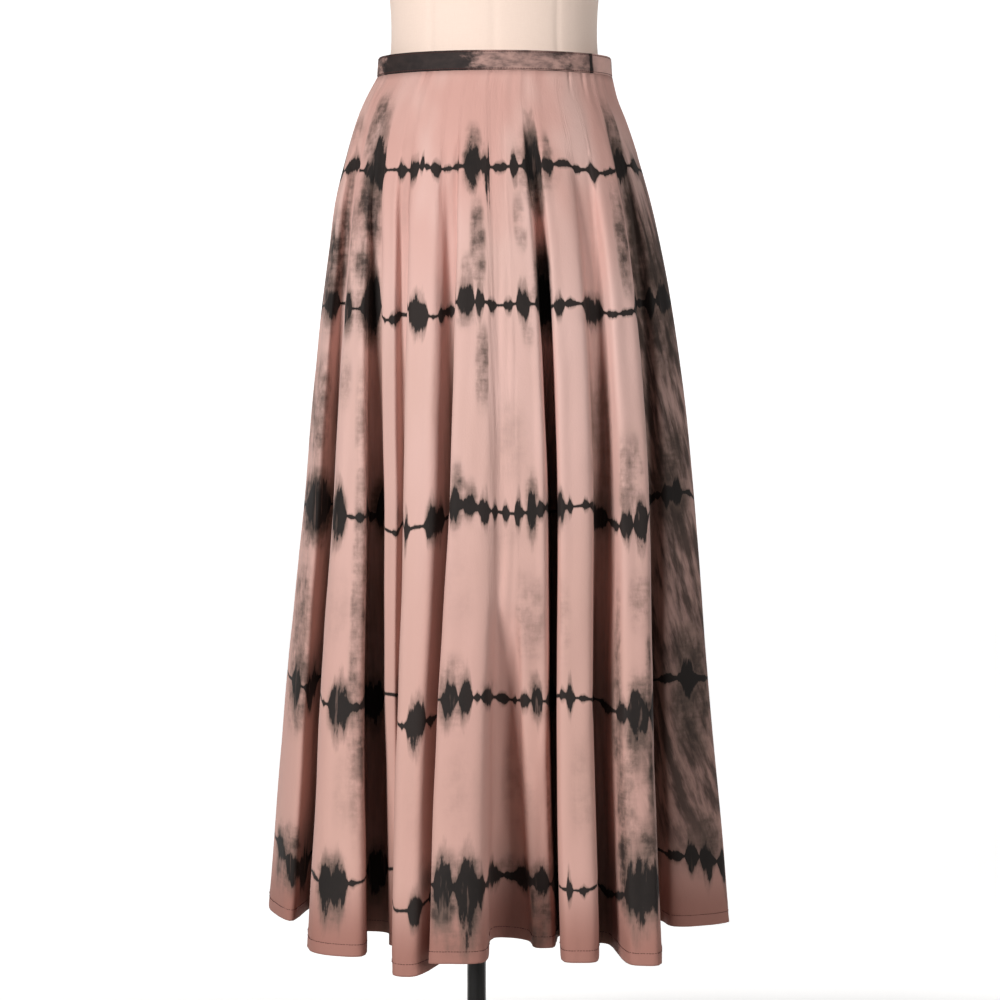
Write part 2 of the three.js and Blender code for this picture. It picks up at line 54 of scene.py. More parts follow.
class Finish:
    """A material with its node tree, built up a node at a time."""

    def __init__(self, name, colour, roughness):
        self.material = bpy.data.materials.new(name)
        self.material.use_nodes = True
        self.nodes = self.material.node_tree.nodes
        self.links = self.material.node_tree.links
        self.shader = self.nodes["Principled BSDF"]
        self.across = None
        self.give("Base Color", colour)
        self.give("Roughness", roughness)

    def put(self, socket, value):
        """Sets a socket to a number or joins it to another node's output."""
        if isinstance(value, bpy.types.NodeSocket):
            self.links.new(value, socket)
        else:
            socket.default_value = value

    def give(self, name, value):
        """Sets one of the shader's inputs, or joins it to another node's output."""
        self.put(self.shader.inputs[name], value)

    def maths(self, operation, a, b=0.0, c=0.0):
        node = self.nodes.new("ShaderNodeMath")
        node.operation = operation
        for socket, value in zip(node.inputs, (a, b, c)):
            self.put(socket, value)
        return node.outputs[0]

    def plus(self, a, b):
        return self.maths("ADD", a, b)

    def times(self, a, b):
        return self.maths("MULTIPLY", a, b)

    def centred(self, value, amount):
        """A noise value as a swing of that much to either side of nought."""
        return self.maths("MULTIPLY_ADD", value, 2 * amount, -amount)

    def kept(self, name):
        """A number that the mesh keeps at each of its points."""
        node = self.nodes.new("ShaderNodeAttribute")
        node.attribute_name = name
        return node.outputs["Fac"]

    def smooth(self, value, start, end):
        """Goes from 0 at start to 1 at end, with soft ends."""
        node = self.nodes.new("ShaderNodeMapRange")
        node.interpolation_type = "SMOOTHSTEP"
        self.put(node.inputs["Value"], value)
        self.put(node.inputs["From Min"], start)
        self.put(node.inputs["From Max"], end)
        return node.outputs["Result"]

    def place(self, stretch):
        """The surface's own coordinates, stretched each way."""
        source = self.across
        if source is None:
            source = self.nodes.new("ShaderNodeTexCoord").outputs["Object"]
        node = self.nodes.new("ShaderNodeMapping")
        node.inputs["Scale"].default_value = stretch
        self.links.new(source, node.inputs["Vector"])
        return node.outputs["Vector"]

    def noise(self, stretch, detail=2.0, rough=0.5):
        node = self.nodes.new("ShaderNodeTexNoise")
        node.inputs["Scale"].default_value = 1.0
        node.inputs["Detail"].default_value = detail
        node.inputs["Roughness"].default_value = rough
        self.links.new(self.place(stretch), node.inputs["Vector"])
        return node.outputs["Fac"]

    def spread(self, stretch, detail, rough, start, end):
        """A noise whose values from start to end are spread over 0 to 1."""
        return self.smooth(self.noise(stretch, detail, rough), start, end)

    def blend(self, share, first, second):
        node = self.nodes.new("ShaderNodeMix")
        node.data_type = "RGBA"
        self.put(node.inputs[0], share)
        self.put(node.inputs[6], first)
        self.put(node.inputs[7], second)
        return node.outputs[2]

    def over(self, ground, colour, share, most):
        """Lays a colour over the ground by a share, held to a greatest strength."""
        return self.blend(self.times(share, most), ground, colour)

    def relief(self, height, distance, strength=1.0):
        """Raises the surface by a height from 0 to 1 over a distance in metres."""
        node = self.nodes.new("ShaderNodeBump")
        node.inputs["Strength"].default_value = strength
        node.inputs["Distance"].default_value = distance
        self.put(node.inputs["Height"], height)
        before = self.shader.inputs["Normal"]
        if before.is_linked:
            self.links.new(before.links[0].from_socket, node.inputs["Normal"])
        self.links.new(node.outputs["Normal"], before)


def paint_node(name, finish):
    """Gives one carried-over solid its finish and rounds its shading."""
    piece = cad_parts[name]
    piece.data.materials.clear()
    piece.data.materials.append(finish.material)
    soften = piece.modifiers.new("soft edges", "BEVEL")
    soften.width = 0.0006
    soften.segments = 2
    soften.limit_method = "ANGLE"
    soften.angle_limit = math.radians(40)
    piece.data.shade_smooth()
    return piece


enamel = Finish("black satin enamel", to_linear(22, 21, 21), 0.36)
enamel.relief(enamel.noise((900, 900, 900)), 0.0001, 0.3)
scuff = enamel.spread((30, 30, 30), 4.0, 0.5, 0.45, 0.8)
enamel.give("Roughness", enamel.maths("MULTIPLY_ADD", scuff, 0.2, 0.32))
for node_name in ("base_plate", "base_hub", "pole", "pole_collar"):
    paint_node(node_name, enamel)

# Torso's foot plate and neck cap
# A stained beech plate is screwed under the torso and a turned beech cap closes its neck.

dark_beech = Finish("stained beech", to_linear(44, 32, 26), 0.42)
grain = dark_beech.noise((220, 26, 220), 4.0)
dark_beech.give("Base Color", dark_beech.blend(grain, to_linear(34, 24, 20), to_linear(62, 44, 34)))
for node_name in ("form_foot_plate", "form_neck_cap"):
    paint_node(node_name, dark_beech)

# Torso
# A limbless dress form: a padded shell covered in cream linen, sewn down the centre front and
# back and over each princess line. The skirt's band hangs round its waist and rests on its hips.

# A row for each level: height, half width, depth in front and depth behind, all in millimetres.
TORSO = np.array(
    [
        (800, 132, 92, 96), (840, 142, 99, 104), (890, 148, 104, 110), (930, 148, 105, 111),
        (965, 144, 104, 109), (1000, 138.1, 103, 106), (1025, 127, 97, 98), (1050, 114, 88, 86),
        (1078, 108, 84, 80), (1115, 107, 83, 79), (1150, 110, 85, 81), (1190, 117, 90, 87),
        (1230, 126, 94, 93), (1270, 135, 95, 98), (1310, 142, 90, 100), (1350, 149, 81, 98),
        (1385, 153, 71, 89), (1408, 146, 63, 78), (1426, 119, 58, 67), (1440, 84, 55, 59),
        (1454, 61, 53, 53), (1475, 54, 51, 49), (1510, 52, 49, 47),
    ],
    dtype=float,
)
BODY_X = -6.0
BUST_Z, BUST_X, BUST_REACH, BUST_ACROSS, BUST_UP, BUST_DOWN = 1258, 72, 26, 46, 62, 44
SEAM_GROOVE, SEAM_WIDTH = 0.9, 3.0
PRINCESS_DEGREES = (0, 37, -37, 95, -95, 145, -145, 180)


def smooth_step(value):
    value = np.clip(value, 0, 1)
    return value * value * (3 - 2 * value)


def read_table(rows, column, at):
    """A smooth curve through a table's column, read where its first column is at."""
    key, value = rows[:, 0], rows[:, column]
    slope = np.empty(len(key))
    slope[1:-1] = (value[2:] - value[:-2]) / (key[2:] - key[:-2])
    slope[0] = (value[1] - value[0]) / (key[1] - key[0])
    slope[-1] = (value[-1] - value[-2]) / (key[-1] - key[-2])
    i = np.clip(np.searchsorted(key, at, side="right") - 1, 0, len(key) - 2)
    width = key[i + 1] - key[i]
    s = np.clip((at - key[i]) / width, 0, 1)
    mix = smooth_step(s)
    bend = slope[i] * width * s * (1 - s) ** 2 - slope[i + 1] * width * s * s * (1 - s)
    return value[i] * (1 - mix) + value[i + 1] * mix + bend


def in_scene(name, data):
    """An object in the scene that holds a mesh, a light or the camera."""
    thing = bpy.data.objects.new(name, data)
    bpy.context.scene.collection.objects.link(thing)
    return thing


def new_piece(name, points, faces, finish):
    """A smooth mesh in metres from points in millimetres, on the part's only body."""
    mesh = bpy.data.meshes.new(name)
    mesh.from_pydata((np.asarray(points, dtype=float) / 1000).tolist(), [], faces)
    mesh.materials.append(finish.material)
    mesh.update()
    mesh.shade_smooth()
    piece = in_scene(name, mesh)
    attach(piece, "root")
    return piece


def quads(*corners):
    """Four-sided faces from the grids of point numbers at their corners."""
    return np.stack(corners, axis=-1).reshape(-1, 4).tolist()


def tube_faces(rings, around, start=0):
    """Faces over rings of points, numbered from start, with a flat face at each end."""
    here = start + np.arange(rings * around).reshape(rings, around)
    beside = np.roll(here, -1, axis=1)
    ends = [here[0, ::-1].tolist(), here[-1].tolist()]
    return quads(here[:-1], beside[:-1], beside[1:], here[1:]) + ends


def torso_points(levels, around):
    """Points of the linen, level by level from the foot to the neck."""
    angle = np.linspace(0, 2 * math.pi, around, endpoint=False)
    z = levels[:, None]
    wide, front, back = (read_table(TORSO, k, z) for k in (1, 2, 3))
    ahead = np.cos(angle) > 0
    deep = np.where(ahead, front, back)
    x = wide * np.sin(angle)
    tall = np.where(z > BUST_Z, BUST_UP, BUST_DOWN)
    mound = BUST_REACH * np.exp(
        -(((np.abs(x) - BUST_X) / BUST_ACROSS) ** 2) - ((z - BUST_Z) / tall) ** 2
    )
    y = -deep * np.cos(angle) - np.where(ahead, mound * np.cos(angle), 0)
    groove = np.zeros_like(x)
    for seam in PRINCESS_DEGREES:
        off = (angle - math.radians(seam) + math.pi) % (2 * math.pi) - math.pi
        along = off * np.hypot(x, y)
        groove += SEAM_GROOVE * np.exp(-((along / SEAM_WIDTH) ** 2))
    reach = np.hypot(x, y)
    x, y = x * (1 - groove / reach), y * (1 - groove / reach)
    return np.stack([BODY_X + x, y, z + 0 * x], axis=-1)


linen = Finish("cream linen cover", to_linear(240, 224, 206), 0.85)
warp = linen.noise((1500, 1500, 120), 3.0)
weft = linen.noise((180, 180, 1700), 3.0)
threads = linen.maths("MULTIPLY_ADD", weft, 0.5, linen.times(warp, 0.5))
weave = linen.smooth(threads, 0.2, 0.8)
linen.give("Base Color", linen.blend(weave, to_linear(238, 215, 201), to_linear(243, 221, 207)))
linen.relief(threads, 0.0002, 0.3)
linen.give("Sheen Weight", 0.15)

TORSO_AROUND, TORSO_LEVELS = 240, 110
levels = np.linspace(TORSO[0, 0], TORSO[-1, 0], TORSO_LEVELS)
torso_rings = torso_points(levels, TORSO_AROUND)
torso_faces = tube_faces(TORSO_LEVELS, TORSO_AROUND)
form = new_piece("form_linen_torso", torso_rings.reshape(-1, 3), torso_faces, linen)
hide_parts("form_torso")

# Skirt panels
# One front panel and two back panels of cotton, gathered at the waist and turned up at the hem.
# The made-up skirt was folded and bound in five rows of stitching, and dyed black over pink.

HEM_HEIGHT, WAIST_HEIGHT = 170.0, 1056.0
SEAM_GAP = 0.3
SKIRT_LENGTH = WAIST_HEIGHT - HEM_HEIGHT
CLOTH = 1.1
HEM_TURN = 13.0
HEM_EXTRA = 0.9

# The outer envelope: share of the length, half width, half depth and centre in X.
SECTIONS = np.array(
    [
        (0.0, 122.6, 100, -5.5), (0.026, 131.7, 107, -8.8), (0.049, 140.1, 114, -8.9),
        (0.084, 150.1, 123, -8.3), (0.143, 164.4, 136, -6.8), (0.201, 173.6, 145, -4.2),
        (0.26, 181.6, 152, -2.6), (0.378, 194.8, 163, -0.5), (0.5, 204.8, 172, 0.5),
        (0.737, 223.4, 188, -2), (1.0, 244, 203, -1),
    ]
)

# The folds, a row for each, from the wearer's right side across the front and round the back:
# crest x, y, half width and facing, valley x, y and half width, then the angles of crest and
# valley at the waist, the shares at which valley and crest begin, and how much lower the hem is.
FOLD_COLUMNS = (
    "crest_x", "crest_y", "wide", "faces", "valley_x", "valley_y", "gap",
    "crest_top", "valley_top", "starts", "sets", "drop",
)
FOLD_ROWS = [
    (-250, 38, 68, -81, -194, 34, 8, -82, -63, 0.05, 0.05, -2),
    (-168, -168, 29, -22, -127, -64, 13, -56.5, -47.5, 0.09, 0.09, 0),
    (-107, -126, 4, -4, -97, -100, 3, -40, -35, 0.09, 0.09, 0),
    (-94, -205, 13, -10, -39, -122, 4, -26, -15.5, 0.07, 0.07, 12),
    (-45, -229, 27, -2, 11, -106, 17, -7, 2, 0.6, 0, -7),
    (45, -137, 9, 4, 63, -84, 3, 9.5, 15, 0.06, 0.6, 0),
    (79, -197, 16, 2, 105, -112, 5, 22, 36, 0.09, 0.09, 0),
    (142, -202, 15, -6, 160, -10, 8, 47, 59, 0.06, 0.06, 2),
    (216, -38, 33, 22, 204, 30, 7, 72, 90, 0.09, 0.09, 0),
    (240, 82, 20, 104, 164, 84, 8, 105, 114, 0.12, 0.12, 4),
    (202, 138, 17, 128, 130, 92, 10, 123, 132, 0.07, 0.07, 0),
    (152, 175, 18, 148, 92, 100, 7, 141, 150, 0.1, 0.1, -4),
    (86, 198, 19, 162, 48, 104, 11, 158, 166, 0.14, 0.14, 3),
    (14, 206, 22, 178, -13, 110, 6, 176, 185, 0.06, 0.06, 8),
    (-38, 203, 16, 190, -58, 98, 8, 193, 201, 0.1, 0.1, -3),
    (-88, 194, 19, 204, -88, 92, 7, 209, 218, 0.08, 0.08, 5),
    (-142, 178, 17, 216, -128, 90, 8, 227, 235, 0.09, 0.09, 0),
    (-196, 156, 17, 228, -176, 96, 7, 243, 253, 0.08, 0.08, -5),
]
FOLDS = [dict(zip(FOLD_COLUMNS, row)) for row in FOLD_ROWS]
SPANS_PER_FOLD = 6
CREST_POWER, VALLEY_POWER = 1.1, 0.85


def envelope(down, degrees):
    angle = np.radians(degrees)
    side, deep, swing = (read_table(SECTIONS, k, down) for k in (1, 2, 3))
    return np.stack([swing + side * np.sin(angle), -deep * np.cos(angle)], axis=-1)


def near_turn(degrees, other):
    return degrees + 360 * round((other - degrees) / 360)


def fold_places():
    """Six places for each fold: its angle at the waist, where it begins and where the hem puts it."""
    homes, begins, spots = [], [], []
    for index, fold in enumerate(FOLDS):
        before = FOLDS[index - 1]
        after = FOLDS[(index + 1) % len(FOLDS)]
        rise = fold["valley_top"] - fold["crest_top"]
        fall = fold["crest_top"] - near_turn(before["valley_top"], fold["crest_top"])
        following = near_turn(after["crest_top"], fold["valley_top"]) - fold["valley_top"]
        between = (fold["faces"] + near_turn(after["faces"], fold["faces"])) / 2
        wide, gap = fold["wide"], fold["gap"]
        crest = (fold["crest_x"], fold["crest_y"], fold["faces"], fold["sets"])
        valley = (fold["valley_x"], fold["valley_y"], between, fold["starts"])
        rows = [
            (crest, fold["crest_top"] - fall * 0.5, -wide, wide * 0.28),
            (crest, fold["crest_top"], 0, 0),
            (crest, fold["crest_top"] + rise * 0.5, wide, wide * 0.28),
            (valley, fold["valley_top"] - rise * 0.25, -gap, -gap * 0.5),
            (valley, fold["valley_top"], 0, 0),
            (valley, fold["valley_top"] + following * 0.25, gap, -gap * 0.5),
        ]
        for (x, y, faces, start), home, side, back in rows:
            facing = math.radians(faces)
            homes.append(home)
            begins.append(start)
            spots.append(
                (
                    x + side * math.cos(facing) - back * math.sin(facing),
                    y + side * math.sin(facing) + back * math.cos(facing),
                )
            )
    return np.array(homes), np.array(begins), np.array(spots)


HOMES, BEGINS, SPOTS = fold_places()
POWERS = np.tile(np.repeat([CREST_POWER, VALLEY_POWER], SPANS_PER_FOLD // 2), len(FOLDS))
SWAY = 1.3
sway_phase = np.random.default_rng(11).uniform(0, 2 * math.pi, (4, len(HOMES)))


def sections_at(downs, spans):
    """The cloth's outer curve in plan at each share of the length, at places counted in spans."""
    downs = np.asarray(downs, dtype=float)[:, None]
    grown = np.clip((downs - BEGINS) / (1 - BEGINS), 0, 1) ** POWERS
    moved = SPOTS - envelope(np.ones((1, len(HOMES))), HOMES[None])
    knots = envelope(downs + 0 * HOMES, HOMES[None] + 0 * downs) + moved * grown[..., None]
    sway = SWAY * grown
    knots[..., 0] += sway * np.sin(9 * downs + sway_phase[0]) * np.sin(4 * downs + sway_phase[1])
    knots[..., 1] += sway * np.sin(7 * downs + sway_phase[2]) * np.sin(5 * downs + sway_phase[3])
    count = len(HOMES)
    k = np.floor(spans).astype(int)
    t = (spans - k)[None, :, None]
    p = [knots[:, (k + shift) % count] for shift in (-1, 0, 1, 2)]
    d = [np.sqrt(np.linalg.norm(p[i + 1] - p[i], axis=-1, keepdims=True)) + 1e-6 for i in range(3)]
    t1 = (p[1] - p[0]) / d[0] - (p[2] - p[0]) / (d[0] + d[1]) + (p[2] - p[1]) / d[1]
    t2 = (p[2] - p[1]) / d[1] - (p[3] - p[1]) / (d[1] + d[2]) + (p[3] - p[2]) / d[2]
    t1, t2 = t1 * d[1], t2 * d[1]
    square = -3 * p[1] + 3 * p[2] - 2 * t1 - t2
    cube = 2 * p[1] - 2 * p[2] + t1 + t2
    return p[1] + t1 * t + square * t**2 + cube * t**3


def plan_outward(curve):
    """Unit direction out of the cloth in plan at each point of open curves."""
    step = np.gradient(curve, axis=1)
    step /= np.linalg.norm(step, axis=-1, keepdims=True)
    return np.stack([step[..., 1], -step[..., 0]], axis=-1)


# Gathers at the waist: uneven waves, each fading out at its own length, and four sharper tucks.
GATHERS = 38
GATHER_DEPTH = 0.5
gather_draw = np.random.default_rng(5)
gather_bend = gather_draw.uniform(-0.9, 0.9, 24)
gather_reach = gather_draw.uniform(0.05, 0.2, GATHERS)
gather_size = gather_draw.uniform(0.35, 1.15, GATHERS)
TUCK_WIDTH, TUCK_DEPTH = 0.9, 1.6
TUCKS = [(-34.3, 0.03), (-1.7, 0.022), (37.7, 0.025), (46.7, 0.035)]  # degrees from centre front, reach


def gather_inset(downs, degrees):
    """How far the gathers and tucks press the cloth in, in millimetres."""
    turn = (degrees % 360) / 360
    warp = sum(
        bend * np.sin(2 * math.pi * (order + 1) * turn + order) / (order + 2) ** 0.5
        for order, bend in enumerate(gather_bend[:9])
    )
    at = (turn * GATHERS + warp) % GATHERS
    first = np.floor(at).astype(int) % GATHERS
    share = at - np.floor(at)
    second = (first + 1) % GATHERS
    reach = gather_reach[first] * (1 - share) + gather_reach[second] * share
    size = gather_size[first] * (1 - share) + gather_size[second] * share
    fade = np.clip(1 - downs[:, None] / reach, 0, 1) ** 1.3
    inset = GATHER_DEPTH * size * fade * (1 - np.cos(2 * math.pi * at))
    for tuck, length in TUCKS:
        off = (degrees - tuck + 180) % 360 - 180
        close = np.exp(-((off / TUCK_WIDTH) ** 2)) * np.clip(1 - downs[:, None] / length, 0, 1)
        inset = inset + TUCK_DEPTH * close
    return inset


def waist_degrees(spans):
    """The angle round the waist at places counted in spans."""
    full = np.append(HOMES, HOMES[0] + 360)
    full = np.maximum.accumulate(np.where(full < full[0], full + 360, full))
    return np.interp(spans % len(HOMES), np.arange(len(full)), full)


def hem_drop(spans):
    """How far below its mean height the hem hangs, in millimetres."""
    at = (spans - 1) / SPANS_PER_FOLD
    first = np.floor(at).astype(int)
    mix = smooth_step(at - first)
    drops = np.array([fold["drop"] for fold in FOLDS])
    return drops[first % len(FOLDS)] * (1 - mix) + drops[(first + 1) % len(FOLDS)] * mix


def ripple(downs, around):
    """Small crinkles left by washing, and the pucker of the turned hem, in millimetres."""
    down = downs[:, None]
    soft = 0.35 * np.sin(around * 0.11 + 3 * np.sin(down * 9)) * np.sin(down * 23 + around * 0.013)
    soft += 0.25 * np.sin(around * 0.23 + down * 31) * np.sin(down * 12 - around * 0.03)
    hem = np.clip((down - 1 + 0.03) / 0.012, 0, 1) * np.clip((1.004 - down) / 0.01, 0, 1)
    pucker = 0.35 * np.sin(around * 0.62 + 90 * down) * np.sin(around * 0.17)
    return soft * np.clip(down * 5, 0, 1) + hem * pucker


def cloth_grid(downs, spans):
    """Outer points and outward ways of the cloth, a row for each share and a column for each place."""
    wider = np.concatenate([2 * spans[:1] - spans[1:2], spans, 2 * spans[-1:] - spans[-2:-1]])
    curve = sections_at(downs, wider)
    ways = plan_outward(curve)[:, 1:-1]
    curve = curve[:, 1:-1]
    hem = sections_at([1.0], spans)[0]
    around = np.concatenate([[0], np.cumsum(np.linalg.norm(np.diff(hem, axis=0), axis=1))])
    shift = ripple(downs, around) - gather_inset(downs, waist_degrees(spans)[None])
    curve = curve + ways * shift[..., None]
    z = WAIST_HEIGHT - SEAM_GAP - downs[:, None] * (SKIRT_LENGTH - SEAM_GAP + hem_drop(spans)[None])
    points = np.concatenate([curve, z[..., None]], axis=-1)
    return points, np.concatenate([ways, 0 * z[..., None]], axis=-1), around


def cloth_shell(name, outer, inner, finish):
    """A closed thin shell between two grids of points. Returns the piece."""
    rows, columns = outer.shape[:2]
    front = np.arange(rows * columns).reshape(rows, columns)
    back = front + rows * columns
    faces = quads(front[:-1, :-1], front[1:, :-1], front[1:, 1:], front[:-1, 1:])
    faces += quads(back[:-1, :-1], back[:-1, 1:], back[1:, 1:], back[1:, :-1])
    faces += quads(front[0, :-1], front[0, 1:], back[0, 1:], back[0, :-1])
    faces += quads(front[-1, :-1], back[-1, :-1], back[-1, 1:], front[-1, 1:])
    faces += quads(front[:-1, 0], back[:-1, 0], back[1:, 0], front[1:, 0])
    faces += quads(front[:-1, -1], front[1:, -1], back[1:, -1], back[:-1, -1])
    points = np.concatenate([outer.reshape(-1, 3), inner.reshape(-1, 3)])
    return new_piece(name, points, faces, finish)


def note(piece, name, values):
    """Keeps one number for each point, the same on both sides of the shell."""
    kept = piece.data.attributes.new(name, "FLOAT", "POINT")
    both = np.concatenate([np.ravel(values), np.ravel(values)]).astype(np.float32)
    kept.data.foreach_set("value", both)


# The dye. Each row of binding left a line of black marks across the cloth. A mark's place is
# given in steps of the front view, about 1 mm each: how far across it is, how wide, the height at
# which its line runs, and how far it bleeds up and down.
VIEW_DISTANCE, VIEW_HEIGHT = 2800.0, 825.6  # millimetres in front of the stand and above the floor
VIEW_STEPS, VIEW_FOCUS, VIEW_HORIZON = 1000, 2667.0, 300.0
VIEW_TILT = math.atan((VIEW_STEPS / 2 - VIEW_HORIZON) / VIEW_FOCUS)

MARK_COLUMNS = ("at", "wide", "row", "up", "down")
DYE_LINES = [
    (0.112, [
        (352, 14, 164, 11, 8), (376, 25, 165, 26, 18), (401, 14, 168, 6, 8), (410, 4, 170, 2, 2),
        (415, 9, 168, 9, 11), (422, 5, 163, 9, 6), (427, 4, 165, 3, 3), (436, 12, 168, 6, 7),
        (448, 10, 168, 3, 3), (458, 12, 167, 8, 4), (472, 17, 165, 20, 18), (485, 11, 166, 12, 10),
        (500, 17, 168, 4, 4), (514, 9, 166, 11, 12), (532, 20, 163, 26, 15), (548, 13, 165, 8, 10),
        (563, 16, 163, 3, 3), (577, 8, 169, 3, 3), (592, 17, 172, 9, 9), (605, 7, 173, 3, 3),
        (611, 6, 171, 3, 3), (622, 12, 165, 14, 14), (636, 9, 166, 8, 8),
    ]),
    (0.266, [
        (333, 15, 304, 14, 13), (347, 10, 308, 16, 20), (372, 24, 310, 34, 20), (385, 3, 320, 2, 3),
        (396, 17, 319, 6, 6), (418, 23, 309, 14, 15), (433, 3, 314, 2, 2), (442, 9, 311, 6, 7),
        (451, 10, 309, 5, 5), (466, 18, 304, 17, 11), (480, 8, 303, 12, 13), (492, 12, 307, 6, 6),
        (508, 11, 306, 6, 6), (523, 15, 303, 13, 13), (543, 17, 305, 34, 18), (559, 10, 305, 9, 10),
        (571, 10, 303, 4, 4), (592, 20, 311, 10, 12), (612, 14, 314, 3, 3), (627, 16, 312, 3, 3),
        (641, 12, 303, 4, 4), (650, 11, 302, 12, 14), (664, 15, 298, 16, 14),
    ]),
    (0.5, [
        (319, 24, 506, 26, 20), (338, 17, 513, 22, 24), (351, 5, 517, 3, 3), (360, 8, 518, 6, 5),
        (371, 14, 517, 4, 4), (383, 14, 513, 24, 14), (396, 9, 533, 3, 3), (405, 9, 525, 14, 16),
        (415, 4, 521, 2, 2), (431, 13, 519, 16, 13), (440, 10, 517, 14, 14), (454, 13, 509, 16, 14),
        (469, 14, 508, 10, 9), (484, 13, 514, 12, 12), (495, 7, 514, 7, 8), (506, 8, 515, 7, 7),
        (519, 11, 514, 13, 13), (532, 10, 512, 18, 18), (541, 9, 508, 8, 8), (548, 7, 506, 5, 6),
        (560, 12, 506, 12, 12), (570, 6, 507, 7, 8), (578, 3, 506, 3, 3), (586, 8, 505, 5, 5),
        (598, 18, 517, 14, 11), (615, 9, 525, 5, 6), (627, 12, 525, 15, 12), (641, 15, 523, 17, 18),
        (655, 14, 495, 4, 4), (667, 10, 494, 10, 12), (677, 11, 492, 13, 14), (690, 10, 492, 3, 3),
    ]),
    (0.709, [
        (297, 8, 684, 18, 22), (312, 12, 690, 18, 18), (324, 5, 703, 3, 3), (340, 22, 706, 18, 21),
        (356, 10, 708, 4, 4), (376, 32, 703, 17, 18), (403, 4, 718, 3, 3), (416, 20, 712, 16, 20),
        (432, 6, 714, 5, 5), (449, 15, 704, 16, 17), (466, 14, 703, 16, 16), (477, 4, 702, 4, 5),
        (487, 13, 701, 7, 8), (503, 14, 701, 4, 5), (515, 5, 702, 4, 4), (525, 10, 700, 6, 8),
        (537, 12, 701, 15, 14), (552, 12, 697, 18, 16), (563, 8, 695, 6, 5), (570, 9, 698, 12, 14),
        (583, 10, 698, 3, 3), (594, 3, 698, 3, 3), (606, 14, 706, 4, 5), (622, 12, 712, 10, 15),
        (638, 22, 712, 18, 24), (653, 8, 711, 16, 14), (668, 18, 678, 4, 4), (688, 16, 677, 16, 18),
        (702, 12, 678, 3, 3),
    ]),
    (0.911, [
        (281, 9, 846, 10, 13), (293, 13, 868, 13, 18), (305, 11, 875, 18, 18), (315, 5, 877, 3, 3),
        (325, 12, 885, 20, 28), (338, 17, 884, 18, 24), (353, 12, 883, 3, 4), (375, 28, 875, 20, 20),
        (396, 9, 900, 2, 2), (415, 15, 899, 12, 14), (443, 20, 893, 22, 28), (467, 23, 893, 24, 42),
        (481, 8, 893, 12, 18), (493, 18, 880, 10, 10), (510, 12, 879, 4, 4), (524, 22, 879, 11, 10),
        (541, 17, 882, 14, 12), (556, 10, 885, 15, 15), (569, 6, 890, 13, 13), (584, 8, 891, 4, 5),
        (606, 14, 892, 4, 4), (619, 10, 894, 4, 5), (641, 34, 889, 26, 26), (656, 7, 887, 20, 20),
        (675, 20, 856, 5, 5), (691, 13, 856, 14, 15), (706, 15, 857, 17, 20), (722, 6, 864, 18, 24),
    ]),
]
LINE_HALF = 1.4

